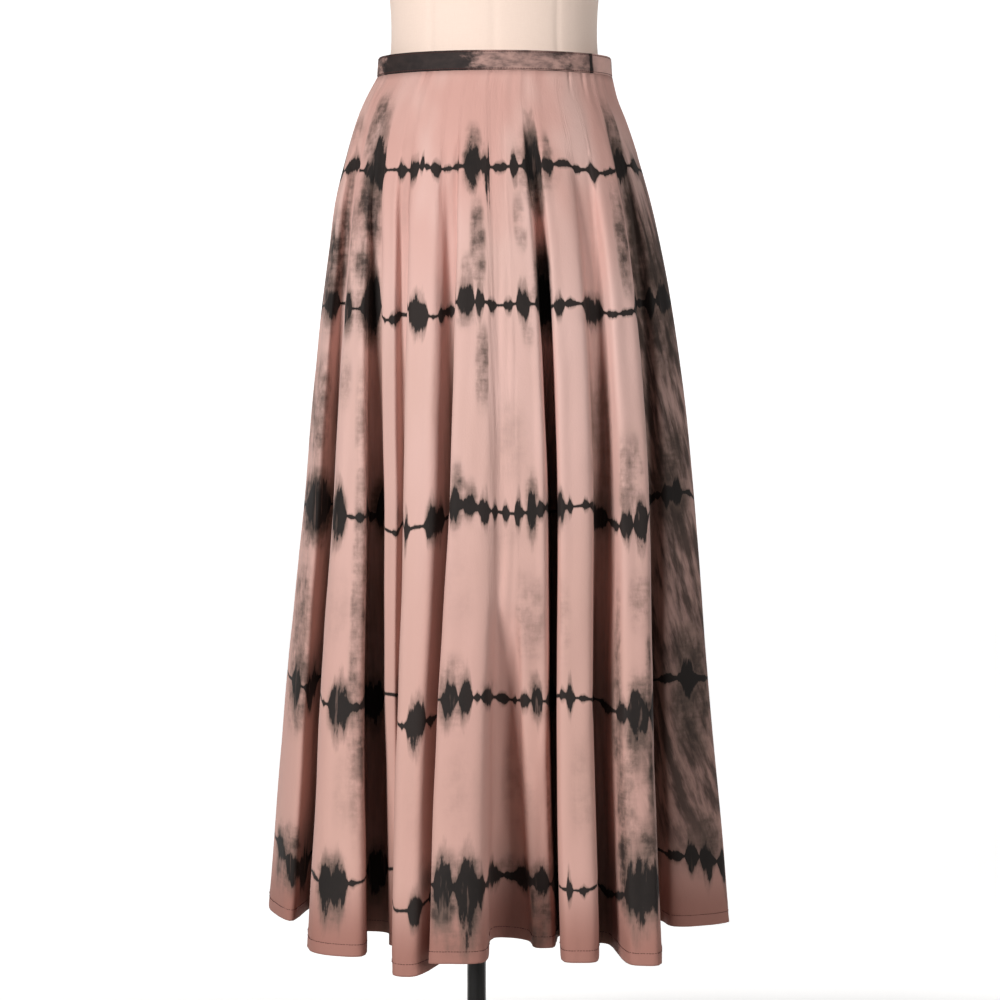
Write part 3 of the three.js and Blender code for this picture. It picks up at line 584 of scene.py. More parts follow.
# Soft clouds of thinner dye round the marks, and a few long strips of painted shade down shaded fold sides
# and recesses: the middle and width across the front view, the rows where each begins and ends, and how
# strong it is.
CLOUD_COLUMNS = ("at", "wide", "top", "bottom", "strength")
CLOUDS = [
    (376, 26, 84, 168, 0.62), (372, 26, 140, 260, 0.95), (366, 22, 230, 300, 0.85),
    (352, 14, 176, 310, 0.42), (356, 16, 110, 150, 0.35), (346, 14, 150, 320, 0.7),
    (472, 20, 118, 196, 0.72), (478, 16, 190, 300, 0.66), (466, 12, 250, 300, 0.5),
    (533, 24, 112, 222, 0.95), (548, 10, 128, 180, 0.6), (520, 14, 186, 260, 0.4),
    (616, 12, 96, 180, 0.8), (622, 12, 170, 310, 0.7), (634, 16, 150, 330, 0.95),
    (371, 26, 250, 360, 1.0), (348, 14, 280, 345, 0.6), (331, 22, 200, 345, 0.9),
    (466, 20, 270, 335, 0.6), (482, 14, 318, 420, 0.6), (527, 14, 270, 355, 0.5),
    (543, 16, 230, 345, 1.0), (592, 22, 296, 330, 0.4), (655, 36, 200, 400, 0.85),
    (319, 26, 340, 480, 0.55), (362, 14, 340, 520, 0.4), (345, 14, 340, 420, 0.3),
    (319, 28, 460, 560, 0.95), (338, 18, 478, 552, 0.75), (382, 22, 470, 548, 0.8),
    (432, 14, 488, 545, 0.6), (455, 18, 460, 540, 0.75), (469, 18, 478, 530, 0.6),
    (532, 14, 462, 548, 0.65), (560, 16, 484, 545, 0.4), (632, 26, 420, 550, 0.5),
    (672, 34, 400, 560, 0.75), (503, 60, 500, 560, 0.2), (300, 20, 620, 750, 0.65),
    (340, 26, 674, 742, 0.6), (376, 34, 670, 740, 0.7), (452, 30, 655, 745, 0.6),
    (487, 16, 676, 716, 0.4), (536, 16, 665, 728, 0.55), (552, 14, 640, 740, 0.7),
    (640, 28, 660, 800, 0.75), (652, 12, 600, 860, 0.8), (690, 36, 600, 780, 0.9),
    (290, 24, 815, 905, 0.75), (332, 32, 845, 935, 0.75), (375, 30, 830, 915, 0.7),
    (443, 30, 850, 952, 0.85), (468, 30, 850, 950, 0.85), (458, 50, 925, 968, 0.4),
    (541, 22, 850, 945, 0.7), (541, 24, 915, 955, 0.5), (520, 44, 855, 890, 0.6),
    (640, 44, 810, 935, 0.85), (702, 46, 800, 885, 0.75), (416, 18, 875, 925, 0.5),
    (340, 24, 560, 660, 0.2), (302, 22, 540, 680, 0.55), (600, 26, 330, 560, 0.3),
    (515, 36, 380, 500, 0.22), (530, 30, 560, 680, 0.34), (562, 20, 560, 690, 0.26),
    (640, 24, 560, 640, 0.4), (520, 40, 720, 860, 0.26), (458, 40, 530, 650, 0.16),
    (345, 28, 740, 850, 0.22), (460, 40, 740, 850, 0.2), (582, 26, 720, 860, 0.22),
    # Painted shade: the last cloud on this line and the first two on the next are dark strips down a shaded
    # fold side, a shaded flank and a recess.
    (412, 20, 740, 860, 0.14), (625, 24, 730, 850, 0.5), (358, 18, 420, 870, 0.6),
    (618, 10, 540, 960, 0.6), (550, 8, 720, 900, 0.5), (592, 16, 150, 290, 0.14),
    (405, 12, 100, 300, 0.16),
]
# Steps down the front view: to the waist, from there to the hem, and for the skirt's length.
WAIST_ROW, ROWS_TO_HEM, ROWS_LONG = 66, 890, 860


def view_across_and_depth(points):
    """Where points in millimetres show across and down the front view, and how far they are."""
    level, rise = points[..., 1] + VIEW_DISTANCE, points[..., 2] - VIEW_HEIGHT
    depth = level * math.cos(VIEW_TILT) - rise * math.sin(VIEW_TILT)
    upward = level * math.sin(VIEW_TILT) + rise * math.cos(VIEW_TILT)
    half = VIEW_STEPS / 2
    return half + VIEW_FOCUS * points[..., 0] / depth, half - VIEW_FOCUS * upward / depth, depth


def cloth_height(down):
    return WAIST_HEIGHT - down * SKIRT_LENGTH


def seen_across(down, spans):
    """For each step across the front view, the place on the cloth that shows there."""
    curve = sections_at([down], spans)[0]
    points = np.concatenate([curve, np.full((len(curve), 1), cloth_height(down))], axis=1)
    across, _, depth = view_across_and_depth(points)
    shown = np.full(VIEW_STEPS, np.nan)
    nearest = np.full(VIEW_STEPS, np.inf)
    for i in range(len(spans) - 1):
        a, b = sorted((i, i + 1), key=lambda k: across[k])
        low, high = across[a], across[b]
        for step in range(math.ceil(low), math.floor(high) + 1):
            share = (step - low) / max(high - low, 1e-6)
            far = depth[a] * (1 - share) + depth[b] * share
            if far < nearest[step]:
                nearest[step] = far
                shown[step] = spans[a] * (1 - share) + spans[b] * share
    return shown


ALL_SPANS = np.linspace(0, len(HOMES), 2200, endpoint=False)
hem_curve = sections_at([1.0], ALL_SPANS)[0]
hem_steps = np.linalg.norm(np.diff(hem_curve, axis=0, append=hem_curve[:1]), axis=1)
ALL_AROUND = np.concatenate([[0], np.cumsum(hem_steps)])[:-1]
HEM_SWEEP = hem_steps.sum()


def around_at(spans):
    """How far round the hem a place is, in millimetres from the wearer's right side seam."""
    return np.interp(spans, ALL_SPANS, ALL_AROUND)


# The front view shows the cloth between these places, and the streaked fold is the last of it.
FRONT_FROM, FRONT_TO = around_at(2.0), around_at(9 * SPANS_PER_FOLD + 1)
SMEARED_FROM = around_at(7 * SPANS_PER_FOLD + 0.3)
STREAKED_FROM, STREAKED_TO = around_at(8 * SPANS_PER_FOLD - 4.2), around_at(10 * SPANS_PER_FOLD)


def off_mark(around, at, left, right):
    """How far places round the hem are from a mark: 0 at its middle and 1 at either edge."""
    gap = (around - at + HEM_SWEEP / 2) % HEM_SWEEP - HEM_SWEEP / 2
    return np.where(gap < 0, -gap / left, gap / right)


def share_at_row(span, row, guess):
    """The share of the length at which a place on the cloth shows in that row of the front view."""
    down = guess
    for _ in range(3):
        trial = np.array([down, down + 0.01])
        x, y = sections_at(trial, np.array([span]))[:, 0].T
        rows = view_across_and_depth(np.stack([x, y, cloth_height(trial)], axis=-1))[1]
        down += 0.01 * (row - rows[0]) / (rows[1] - rows[0])
    return down


def place_on_cloth(shown, at, wide, row, share):
    """Turns a place in the front view into one on the cloth: round the hem, reach each way, share."""
    middle = shown[round(at)]
    if np.isnan(middle):
        return None
    place = float(around_at(middle))
    reach = []
    for way in (-1, 1):
        step = round(at)
        while abs(step + way - at) < wide / 2 + 0.5 and abs(shown[step + way] - shown[step]) < 0.8:
            step += way
        reach.append(max(abs(float(around_at(shown[step])) - place), wide * 0.2))
    return place, *reach, share_at_row(middle, row, share)


def random_marks(line, share, in_view):
    """Marks of like sizes for the parts of a dye line that the front view hides."""
    draw = np.random.default_rng(100 + line)
    marks, at = [], 0.0
    while at < HEM_SWEEP - 30:
        half = draw.choice([3, 6, 9, 13, 18], p=[0.25, 0.25, 0.22, 0.16, 0.12])
        half *= draw.uniform(0.8, 1.2)
        at += half
        if not in_view[int(at)]:
            up, down = half * draw.uniform(0.6, 1.8, 2)
            lift = draw.uniform(-0.004, 0.004)
            marks.append((at, half, half, share + lift, min(up, 34), min(down, 30)))
        at += half + draw.choice([0, 3, 8, 20])
    return marks


def dye_marks(line, share, rows):
    """All the marks on a line: place round the hem, reach left, right, share, reach up and down."""
    shown = seen_across(share, ALL_SPANS)
    marks = []
    for row in rows:
        mark = dict(zip(MARK_COLUMNS, row))
        placed = place_on_cloth(shown, mark["at"], mark["wide"], mark["row"], share)
        if placed:
            marks.append((*placed, mark["up"], mark["down"]))
    seen = around_at(np.unique(shown[~np.isnan(shown)]))
    in_view = np.zeros(int(HEM_SWEEP) + 2, dtype=bool)
    in_view[seen.astype(int)] = True
    in_view = np.convolve(in_view, np.ones(13), "same") > 0
    return sorted(marks + random_marks(line, share, in_view))


ALL_MARKS = [dye_marks(line, share, rows) for line, (share, rows) in enumerate(DYE_LINES)]


def dye_fields(marks, share, around):
    """Along the cloth: how far the black reaches up and down, and where its line runs."""
    up = np.full(around.shape, LINE_HALF)
    down = np.full(around.shape, LINE_HALF)
    for at, left, right, _, rise, fall in marks:
        off = np.clip(off_mark(around, at, left, right), 0, 1)
        body = np.clip(1 - off**2.2, 0, 1) ** 0.7
        up, down = np.maximum(up, 1.1 * rise * body), np.maximum(down, 1.1 * fall * body)
    places = np.array([mark[0] for mark in marks])
    shares = np.array([mark[3] for mark in marks])
    return up, down, np.interp(around, places, shares, period=HEM_SWEEP) - share


HIDDEN_CLOUDS = 26


def cloud_field(downs, around):
    """How much thinner dye, and painted shade from the few shade strips, there is at each point of a panel.
    """
    cloud = np.zeros((len(downs), len(around)))

    def lay(at, left, right, top, bottom, strength):
        middle, reach = (top + bottom) / 2, (bottom - top) / 2
        off = off_mark(around, at, left, right)[None] / 1.3
        drop = np.abs(downs[:, None] - middle) / (1.1 * reach)
        soft = smooth_step(1.35 * (1.05 - np.hypot(off**1.5, drop)))
        np.maximum(cloud, strength * soft, out=cloud)

    for row in CLOUDS:
        part = dict(zip(CLOUD_COLUMNS, row))
        middle_row = (part["top"] + part["bottom"]) / 2
        guess = (middle_row - WAIST_ROW) / ROWS_TO_HEM
        shown = seen_across(guess, ALL_SPANS)
        placed = place_on_cloth(shown, part["at"], part["wide"], middle_row, guess)
        if placed:
            at, left, right, share = placed
            tall = (part["bottom"] - part["top"]) / 2 / ROWS_LONG
            lay(at, left, right, share - tall, share + tall, part["strength"])
    for line, (share, _) in enumerate(DYE_LINES):
        for at, left, right, _, rise, fall in ALL_MARKS[line]:
            if rise > 9 and not FRONT_FROM < at < FRONT_TO:
                lay(at, left * 1.3, right * 1.3, share - rise / 350, share + fall / 420, 0.75)
    draw = np.random.default_rng(77)
    for _ in range(HIDDEN_CLOUDS):
        at, half, top = draw.uniform(FRONT_TO, HEM_SWEEP), draw.uniform(12, 40), draw.uniform(0.05, 0.75)
        lay(at, half, half, top, top + draw.uniform(0.12, 0.35), 0.5)
    return cloud


# Painted shade on the valley floors, partly darker dye that the folded cloth took up: a strength for each
# fold seen, then 0.3.
VALLEY_SHADE_AND_DYE_STRENGTHS = [0.6, 0.5, 0.4, 0.85, 0.0, 0.8, 0.55, 0.5, 0.6]  # for each fold seen, then 0.3


def valley_shade_and_dye_field(downs, spans):
    """How dark the valley floors are painted: painted shade where the folds hide them from the light, and
    partly the darker dye that the folded cloth took up.
    """
    fold = np.floor(spans / SPANS_PER_FOLD).astype(int)
    place = (spans + 2) % SPANS_PER_FOLD - 3
    strengths = np.array([VALLEY_SHADE_AND_DYE_STRENGTHS[k] if k < len(VALLEY_SHADE_AND_DYE_STRENGTHS) else 0.3 for k in fold])
    floor = smooth_step((np.abs(place) - 1.1) / 1.1)
    return smooth_step((downs[:, None] - 0.12) / 0.35) * (floor * strengths)[None]


def dye_onto(piece, downs, spans):
    """Writes the dye's fields, with the painted shade of the valleys and clouds, and the flat cloth's
    coordinates onto a panel's points.
    """
    around = around_at(spans)
    shares = np.array([share for share, _ in DYE_LINES])
    nearest = np.abs(downs[:, None] - shares[None]).argmin(axis=1)
    fields = [
        dye_fields(marks, share, around) for (share, _), marks in zip(DYE_LINES, ALL_MARKS)
    ]
    up, down, shift = (np.array([field[k] for field in fields])[nearest] for k in range(3))
    note(piece, "dye_up", up / SKIRT_LENGTH)
    note(piece, "dye_down", down / SKIRT_LENGTH)
    note(piece, "dye_shift", shift)
    note(piece, "dye_and_shade_cloud", cloud_field(downs, around))
    note(piece, "valley_floor_shade_and_dye", valley_shade_and_dye_field(downs, spans))
    streaked = smooth_step((around - STREAKED_FROM) / 40) * smooth_step((STREAKED_TO - around) / 60)
    tall = smooth_step((downs - 0.04) / 0.12) * smooth_step((0.955 - downs) / 0.1)
    before = smooth_step((around - SMEARED_FROM) / 40) * (around < STREAKED_FROM + 20)
    low = 0.75 * smooth_step((downs - 0.68) / 0.08) * smooth_step((0.9 - downs) / 0.06)
    field = np.maximum(streaked[None] * tall[:, None], before[None] * low[:, None])
    note(piece, "dye_streaked", field)
    sheet = piece.data.uv_layers.new(name="Cloth")
    u, v = np.broadcast_arrays(around[None] / 1000, downs[:, None] * SKIRT_LENGTH / 1000)
    both = np.concatenate([np.stack([u, v], -1).reshape(-1, 2)] * 2)
    corners = np.empty(len(piece.data.loops), dtype=int)
    piece.data.loops.foreach_get("vertex_index", corners)
    sheet.data.foreach_set("uv", both[corners].astype(np.float32).ravel())


PALE_PINK, SALMON, DUSTY = to_linear(222, 186, 178), to_linear(200, 158, 148), to_linear(202, 163, 151)
FLUSHED, HEM_BROWN = to_linear(206, 158, 148), to_linear(152, 105, 94)
# The grey is dye, and also paints the shade strips among the clouds.
GREY_DYE_AND_SHADE, BLACK = to_linear(102, 84, 76), to_linear(28, 24, 23)
# The first brown is the painted shade of the valley floors, partly dye.
SHADE_AND_DYE_BROWN, STREAK_BROWN = to_linear(92, 70, 56), to_linear(56, 45, 40)

cotton = Finish("dyed cotton sateen", PALE_PINK, 0.74)
flat_cloth = cotton.nodes.new("ShaderNodeUVMap")
flat_cloth.uv_map = "Cloth"
split = cotton.nodes.new("ShaderNodeSeparateXYZ")
cotton.links.new(flat_cloth.outputs["UV"], split.inputs[0])
round_cloth, down_cloth = split.outputs[0], split.outputs[1]

# Noises that keep their size on the hanging skirt
cotton.across = cotton.nodes.new("ShaderNodeTexCoord").outputs["Object"]
patch = cotton.spread((13, 13, 5), 3.0, 0.5, 0.35, 0.68)
flush = cotton.spread((16, 16, 6), 2.0, 0.5, 0.32, 0.6)
streak = cotton.spread((110, 110, 9), 4.0, 0.6, 0.25, 0.75)
mottle = cotton.spread((55, 55, 42), 4.0, 0.62, 0.3, 0.7)
rungs = cotton.spread((40, 40, 200), 3.0, 0.6, 0.3, 0.7)
fringe = cotton.spread((170, 170, 36), 4.0, 0.6, 0.28, 0.72)
pinched = cotton.spread((150, 150, 9), 3.0, 0.55, 0.6, 0.68)
# Noises that lean across the flat cloth
slant = cotton.nodes.new("ShaderNodeCombineXYZ")
cotton.put(slant.inputs[0], cotton.maths("MULTIPLY_ADD", down_cloth, -0.36, round_cloth))
cotton.put(slant.inputs[1], down_cloth)
cotton.across = slant.outputs[0]
crinkle = cotton.noise((62, 15, 1), 5.0, 0.62)
broad = cotton.noise((20, 7, 1), 4.0, 0.6)
cotton.across = flat_cloth.outputs["UV"]

ground = cotton.blend(cotton.smooth(down_cloth, 0.1, 0.75), PALE_PINK, SALMON)
ground = cotton.over(ground, DUSTY, patch, 0.4)
high_up = cotton.times(cotton.smooth(down_cloth, 0.36, 0.02), flush)
ground = cotton.over(ground, FLUSHED, high_up, 0.9)
ground = cotton.over(ground, HEM_BROWN, cotton.smooth(down_cloth, 0.79, 0.875), 0.9)
share_down = cotton.maths("DIVIDE", down_cloth, SKIRT_LENGTH / 1000)
reach = 50.0
for share, _ in DYE_LINES:
    above = cotton.plus(cotton.maths("SUBTRACT", share, share_down), cotton.kept("dye_shift"))
    upward = cotton.maths("DIVIDE", above, cotton.kept("dye_up"))
    downward = cotton.maths("DIVIDE", cotton.times(above, -1.0), cotton.kept("dye_down"))
    reach = cotton.maths("MINIMUM", cotton.maths("MAXIMUM", upward, downward), reach)
# The clouds are mostly thinner dye, with a few strips of painted shade.
cloudy = cotton.kept("dye_and_shade_cloud")
feather = cotton.plus(cotton.centred(streak, 0.12), cotton.centred(rungs, 0.06))
feather = cotton.plus(cotton.centred(mottle, 0.24), feather)
patchy = cotton.plus(cloudy, cotton.times(feather, cotton.smooth(cloudy, 0.0, 0.5)))
ground = cotton.over(ground, GREY_DYE_AND_SHADE, cotton.smooth(patchy, 0.0, 0.95), 0.85)
resist = cotton.maths("MULTIPLY_ADD", pinched, -0.6, 0.9)
ground = cotton.over(ground, BLACK, cotton.smooth(patchy, 0.62, 1.15), resist)
# Painted shade: the valley floors are darkened towards brown, partly for the dye that the folds took up.
painted_valley_shade = cotton.plus(cotton.kept("valley_floor_shade_and_dye"), cotton.centred(streak, 0.12))
ground = cotton.over(ground, SHADE_AND_DYE_BROWN, cotton.smooth(painted_valley_shade, 0.05, 0.95), 0.9)
streaked = cotton.kept("dye_streaked")
ground = cotton.over(ground, GREY_DYE_AND_SHADE, streaked, 0.4)
lines = cotton.plus(cotton.times(crinkle, 0.6), cotton.times(broad, 0.5))
streaked = cotton.times(streaked, cotton.smooth(lines, 0.47, 0.64))
ground = cotton.over(ground, STREAK_BROWN, streaked, 0.88)
ragged = cotton.plus(cotton.centred(fringe, 0.36), cotton.centred(mottle, 0.16))
ragged = cotton.plus(reach, ragged)
halo = cotton.maths("SUBTRACT", 1.0, cotton.smooth(ragged, 0.9, 2.1))
ground = cotton.over(ground, GREY_DYE_AND_SHADE, halo, 0.55)
marked = cotton.maths("SUBTRACT", 1.0, cotton.smooth(ragged, 0.8, 1.18))
resist = cotton.times(pinched, cotton.smooth(cotton.kept("dye_up"), 0.008, 0.02))
resist = cotton.maths("MULTIPLY_ADD", resist, -0.45, 0.97)
cotton.give("Base Color", cotton.over(ground, BLACK, marked, resist))
cotton.give("Specular IOR Level", 0.22)
cotton.give("Sheen Weight", 0.04)
cotton.give("Sheen Roughness", 0.5)
cotton.relief(cotton.noise((750, 420, 1), 2.0, 0.6), 0.0003, 0.35)
cotton.relief(cotton.noise((90, 60, 1), 3.0), 0.0012, 0.35)

PANELS = [
    ("skirt_front", "front_panel", 0, 9, 40),
    ("skirt_back_left", "back_panel_left", 9, 13 + 1 / SPANS_PER_FOLD, 30),
    ("skirt_back_right", "back_panel_right", 13 + 1 / SPANS_PER_FOLD, 18, 30),
]
fine_downs = np.concatenate(
    [np.linspace(0, 0.2, 26)[:-1], np.linspace(0.2, 0.97, 68), np.linspace(0.97, 1, 14)[1:]]
)
for piece_name, node_name, first, last, per_fold in PANELS:
    columns = round((last - first) * per_fold) + 1
    spans = np.linspace(first, last, columns) * SPANS_PER_FOLD
    outer, ways, around = cloth_grid(fine_downs, spans)
    for edge, toward in ((0, 1), (-1, -2)):
        pull = outer[:, toward] - outer[:, edge]
        outer[:, edge] += pull * (SEAM_GAP / 2) / np.linalg.norm(pull, axis=-1, keepdims=True)
    thick = CLOTH + HEM_EXTRA * smooth_step((fine_downs - 1 + HEM_TURN / SKIRT_LENGTH) / 0.003)
    inner = outer - ways * thick[:, None, None]
    piece = cloth_shell(piece_name, outer, inner, cotton)
    dye_onto(piece, fine_downs, spans)
    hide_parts(node_name)
    waist_curve = sections_at([0.0], spans)[0]

# Waistband
# One straight strip, folded along its top edge and topstitched, its end lapped at centre back.

BAND_DEPTH = 20.0
BAND_CLOTH = 2.2
BAND_TOP, BAND_FOOT = (121.2, 98.8), (122.6, 100.0)
BAND_SWING = -5.5
LAP_DEGREES, LAP_START = 15.0, 184.0

band_cotton = Finish("dyed band cotton", to_linear(150, 118, 112), 0.72)
band_cotton.give("Specular IOR Level", 0.22)
band_patch = band_cotton.noise((60, 60, 130), 5.0, 0.62)
band_fleck = band_cotton.noise((300, 300, 380), 3.0, 0.6)
band_ground = band_cotton.blend(
    band_cotton.smooth(band_patch, 0.3, 0.7), to_linear(178, 143, 134), to_linear(106, 86, 82)
)
band_light_and_dye = band_cotton.kept("band_dye_and_painted_light")
# Painted light: a negative patch lifts the band towards pale pink where little side light reaches it.
band_ground = band_cotton.over(band_ground, to_linear(226, 184, 174), band_light_and_dye, -0.8)
band_edge = band_cotton.plus(
    band_cotton.centred(band_patch, 0.5), band_cotton.centred(band_fleck, 0.2)
)
band_edge = band_cotton.plus(band_light_and_dye, band_edge)
band_edge = band_cotton.times(band_edge, band_cotton.smooth(band_light_and_dye, 0.02, 0.3))
band_edge = band_cotton.smooth(band_edge, 0.35, 0.75)
band_cotton.give("Base Color", band_cotton.over(band_ground, to_linear(36, 31, 31), band_edge, 0.95))
band_cotton.relief(band_fleck, 0.0004, 0.4)

# Patches round the band: middle and half width in degrees from centre front, and strength. Positive ones
# are dark dye; the negative one is painted light, which lifts the band's colour where the side light falls
# weakly.
BAND_DYE_AND_LIGHT_PATCHES = [
    (-40, 32, 1.0), (-78, 12, 0.5), (54, 1.3, 1.0), (36, 8, 0.45), (12, 10, 0.25), (70, 14, -1.0),
    (93, 9, 0.8), (104, 12, 0.5), (133, 14, 0.9), (168, 10, 0.4), (203, 16, 0.9),
    (240, 12, 0.6), (262, 6, 0.9),
]
BAND_STEPS, BAND_LEVELS = 420, 13


def band_point_rows():
    turned = np.linspace(0, 360 + LAP_DEGREES, BAND_STEPS)
    degrees = LAP_START - LAP_DEGREES + turned
    angle = np.radians(degrees)[None]
    level = np.linspace(0, 1, BAND_LEVELS)[:, None]
    side = BAND_TOP[0] + (BAND_FOOT[0] - BAND_TOP[0]) * level
    deep = BAND_TOP[1] + (BAND_FOOT[1] - BAND_TOP[1]) * level
    lap = smooth_step((turned - 360 + LAP_DEGREES / 2) / (LAP_DEGREES / 2))
    way = np.stack([np.sin(angle) / side, -np.cos(angle) / deep], axis=-1)
    way /= np.linalg.norm(way, axis=-1, keepdims=True)
    edge = np.clip(np.minimum(level, 1 - level) * BAND_DEPTH / 1.1, 0, 1)
    rounded = 0.7 * (1 - np.sqrt(1 - (1 - edge) ** 2))
    press = 0.35 * np.exp(-(((np.minimum(level, 1 - level) * BAND_DEPTH - 2.0) / 0.7) ** 2))
    soft = 0.18 * np.sin(angle * 31) * np.sin(angle * 7 + 4 * level) + 0.12 * np.sin(angle * 73 + 6 * level)
    lift = lap[None] * (BAND_CLOTH + 0.2 + SEAM_GAP) - rounded - press + soft - 0.3
    x = BAND_SWING + side * np.sin(angle) + way[..., 0] * lift
    y = -deep * np.cos(angle) + way[..., 1] * lift
    z = WAIST_HEIGHT + (1 - level) * BAND_DEPTH + 0 * x
    outer = np.stack([x, y, z], axis=-1)
    ways = np.concatenate([way, 0 * x[..., None]], axis=-1)
    inner = outer - ways * (BAND_CLOTH - 0.5 - rounded[..., None] * 2)
    return degrees, outer, inner, ways


band_degrees, band_outer, band_inner, band_ways = band_point_rows()
band = cloth_shell("skirt_waistband", band_outer, band_inner, band_cotton)
# Positive strengths are dye and negative ones are painted light.
band_dye_and_light_strengths = np.zeros(BAND_STEPS)
for middle, half, strength in BAND_DYE_AND_LIGHT_PATCHES:
    off = np.abs((band_degrees - middle + 180) % 360 - 180)
    laid = strength * smooth_step(1.5 - off / half)
    band_dye_and_light_strengths = np.where(np.abs(laid) > np.abs(band_dye_and_light_strengths), laid, band_dye_and_light_strengths)
note(band, "band_dye_and_painted_light", np.broadcast_to(band_dye_and_light_strengths, band_outer.shape[:2]))
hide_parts("waistband")

# Centre back placket
# A lapped strip of the same cotton over the opening below the band, stitched down both sides.

PLACKET_LENGTH, PLACKET_CLOTH = 180.0, 1.0
centre_back = (13 + 1 / SPANS_PER_FOLD) * SPANS_PER_FOLD
placket_spans = np.linspace(centre_back - 1.0, centre_back + 0.5, 13)
placket_downs = np.linspace(0.004, PLACKET_LENGTH / SKIRT_LENGTH, 50)
placket_skin, placket_ways, _ = cloth_grid(placket_downs, placket_spans)
placket_low = placket_skin + placket_ways * (SEAM_GAP + 0.25)
placket_top = placket_low + placket_ways * PLACKET_CLOTH
placket = cloth_shell("skirt_back_placket", placket_top, placket_low, cotton)
dye_onto(placket, placket_downs, placket_spans)
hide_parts("back_placket")

# Topstitching
# Dark brown thread: one row round the hem, one along each edge of the band, and one down each
# side of the placket. Each stitch is a short thread that dips into the cloth at its ends.

thread_finish = Finish("brown thread", to_linear(74, 36, 32), 0.7)
thread_finish.relief(thread_finish.noise((3000, 3000, 3000)), 0.0001, 0.3)
STITCH, STITCH_GAP, THREAD = 2.4, 0.5, 0.33
STITCH_SIDES, FIRST_STITCH = 6, 0.8
# Along one stitch: where its rings are, how far out they stand and how thick they are.
STITCH_STOPS = STITCH * np.array([0, 0.2, 0.5, 0.8, 1.0])
STITCH_RISE = np.array([-0.25, 0.12, 0.2, 0.12, -0.25])
STITCH_THICK = THREAD * np.array([0.6, 1.0, 1.0, 1.0, 0.6])


def stitch_row(name, lines, outs):
    """A piece with the stitches of some lines on the cloth, moved out by half a thread."""
    points, faces = [], []
    turns = 2 * math.pi * np.arange(STITCH_SIDES)[:, None] / STITCH_SIDES
    for line, out in zip(lines, outs):
        run = np.concatenate([[0], np.cumsum(np.linalg.norm(np.diff(line, axis=0), axis=1))])
        at = FIRST_STITCH
        while at + STITCH < run[-1]:
            stops = at + STITCH_STOPS
            middle = np.stack([np.interp(stops, run, line[:, k]) for k in range(3)], axis=-1)
            up = np.stack([np.interp(stops, run, out[:, k]) for k in range(3)], axis=-1)
            up /= np.linalg.norm(up, axis=-1, keepdims=True)
            middle = middle + up * STITCH_RISE[:, None]
            along = middle[-1] - middle[0]
            side = np.cross(up, along / np.linalg.norm(along))
            ways = side[:, None] * np.cos(turns) + up[:, None] * np.sin(turns)
            rings = middle[:, None] + ways * STITCH_THICK[:, None, None]
            faces += tube_faces(len(stops), STITCH_SIDES, len(points))
            points.extend(rings.reshape(-1, 3))
            at += STITCH + STITCH_GAP
    new_piece(name, points, faces, thread_finish)


hem_row_share = 1 - (HEM_TURN - 1.0) / SKIRT_LENGTH
hem_lines, hem_outs = [], []
for _, _, first, last, _ in PANELS:
    spans = np.linspace(first + 0.002, last - 0.002, round((last - first) * 120)) * SPANS_PER_FOLD
    rows, ways, _ = cloth_grid(np.array([0.97, hem_row_share, 1.0]), spans)
    hem_lines.append(rows[1])
    hem_outs.append(ways[1])
stitch_row("hem_stitching", hem_lines, hem_outs)

band_rows = [1, BAND_LEVELS - 2]
stitch_row("waistband_stitching", band_outer[band_rows], band_ways[band_rows])

stitch_row(
    "placket_stitching",
    [placket_top[:, column] for column in (1, -2)],
    [placket_ways[:, column] for column in (1, -2)],
)

# Band button
# One flat four-hole button in dark horn sits on the band's lap.

horn = Finish("dark horn", to_linear(70, 54, 46), 0.28)
grain = horn.noise((160, 160, 500), 3.0)
horn.give("Base Color", horn.blend(grain, to_linear(46, 34, 28), to_linear(112, 88, 70)))
paint_node("waistband_button", horn)

# Floor and backdrop
# A pale studio sweep: a flat floor, greyer towards the front so that it throws little light up,
# which glows white behind the stand and curves up into a far wall.

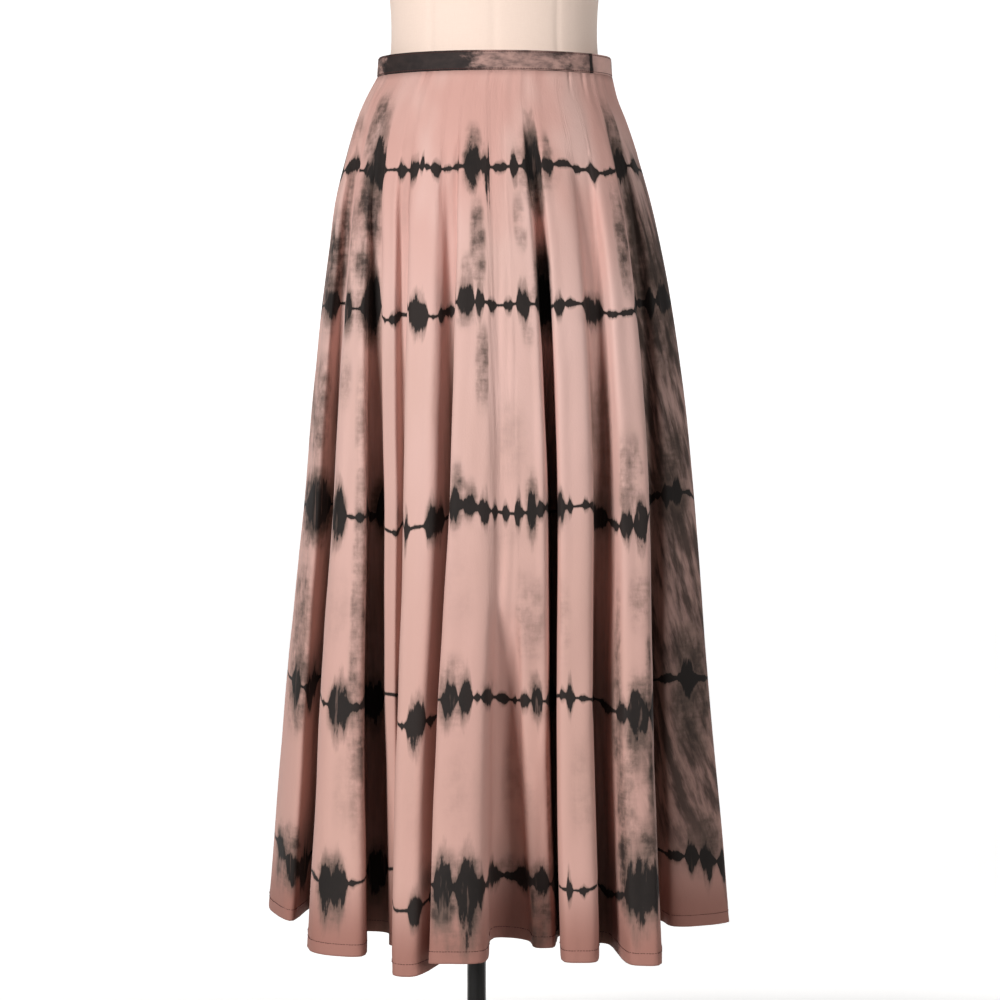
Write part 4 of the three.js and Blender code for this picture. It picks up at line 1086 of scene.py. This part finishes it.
PAPER = to_linear(214, 213, 211)
pale = Finish("pale studio paper", PAPER, 0.9)
pale.relief(pale.noise((40, 40, 40)), 0.0002, 0.1)
far_back = pale.nodes.new("ShaderNodeSeparateXYZ")
pale.links.new(pale.place((1, 1, 1)), far_back.inputs[0])
backward = far_back.outputs[1]
pale.give("Emission Color", (1.0, 1.0, 1.0, 1.0))
glow = pale.maths("MULTIPLY_ADD", pale.smooth(backward, 0.05, 0.4), 0.8, 0.02)
pale.give("Emission Strength", glow)
pale.give("Base Color", pale.blend(pale.smooth(backward, -0.9, -0.1), to_linear(96, 96, 95), PAPER))
SWEEP_HALF, SWEEP_NEAR, SWEEP_FAR, SWEEP_BEND, SWEEP_TOP = 6.0, -6.0, 7.0, 0.8, 4.0
profile = [(SWEEP_NEAR, 0.0)]
for step in range(17):
    angle = math.pi / 2 * step / 16
    profile.append(
        (SWEEP_FAR + SWEEP_BEND * math.sin(angle), SWEEP_BEND * (1 - math.cos(angle)))
    )
profile.append((SWEEP_FAR + SWEEP_BEND, SWEEP_TOP))
sweep_points = [(x, y, z) for y, z in profile for x in (-SWEEP_HALF, SWEEP_HALF)]
sweep_faces = [(2 * i, 2 * i + 1, 2 * i + 3, 2 * i + 2) for i in range(len(profile) - 1)]
sweep_mesh = bpy.data.meshes.new("studio_sweep")
sweep_mesh.from_pydata(sweep_points, [], sweep_faces)
sweep_mesh.materials.append(pale.material)
sweep_mesh.shade_smooth()
sweep = in_scene("studio_sweep", sweep_mesh)

# Lights
# Two large soft boxes at either side of the camera and a weaker one overhead, with little fill,
# so that the crests are bright and the valleys between them go dark.

LIGHTS = [
    # name, place, size, watts
    ("left box", (-2.2, -2.9, 1.4), 1.1, 124),
    ("right box", (2.4, -2.8, 1.35), 1.1, 55),
    ("top box", (0, 0.3, 3.6), 1.6, 16),
]
TARGET = Vector((0, 0, 0.6))
for name, place, size, watts in LIGHTS:
    data = bpy.data.lights.new(name, "AREA")
    data.shape = "SQUARE"
    data.size = size
    data.energy = watts
    data.color = (1.0, 0.985, 0.97)
    lamp = in_scene(name, data)
    lamp.location = place
    lamp.rotation_euler = (TARGET - Vector(place)).to_track_quat("-Z", "Y").to_euler()

world = bpy.data.worlds.new("studio air")
world.use_nodes = True
air = world.node_tree.nodes["Background"].inputs
air["Color"].default_value = (1.0, 0.99, 0.98, 1.0)
air["Strength"].default_value = 0.02
bpy.context.scene.world = world

# Camera
# It stands in front at waist height and looks slightly down.

SENSOR = 36.0
camera_data = bpy.data.cameras.new("camera")
camera_data.sensor_width = SENSOR
camera_data.lens = SENSOR * VIEW_FOCUS / VIEW_STEPS
camera = in_scene("camera", camera_data)
camera.location = (0.0, -VIEW_DISTANCE / 1000, VIEW_HEIGHT / 1000)
camera.rotation_euler = (math.pi / 2 - VIEW_TILT, 0.0, 0.0)
bpy.context.scene.camera = camera
bpy.context.scene.view_settings.view_transform = "Standard"
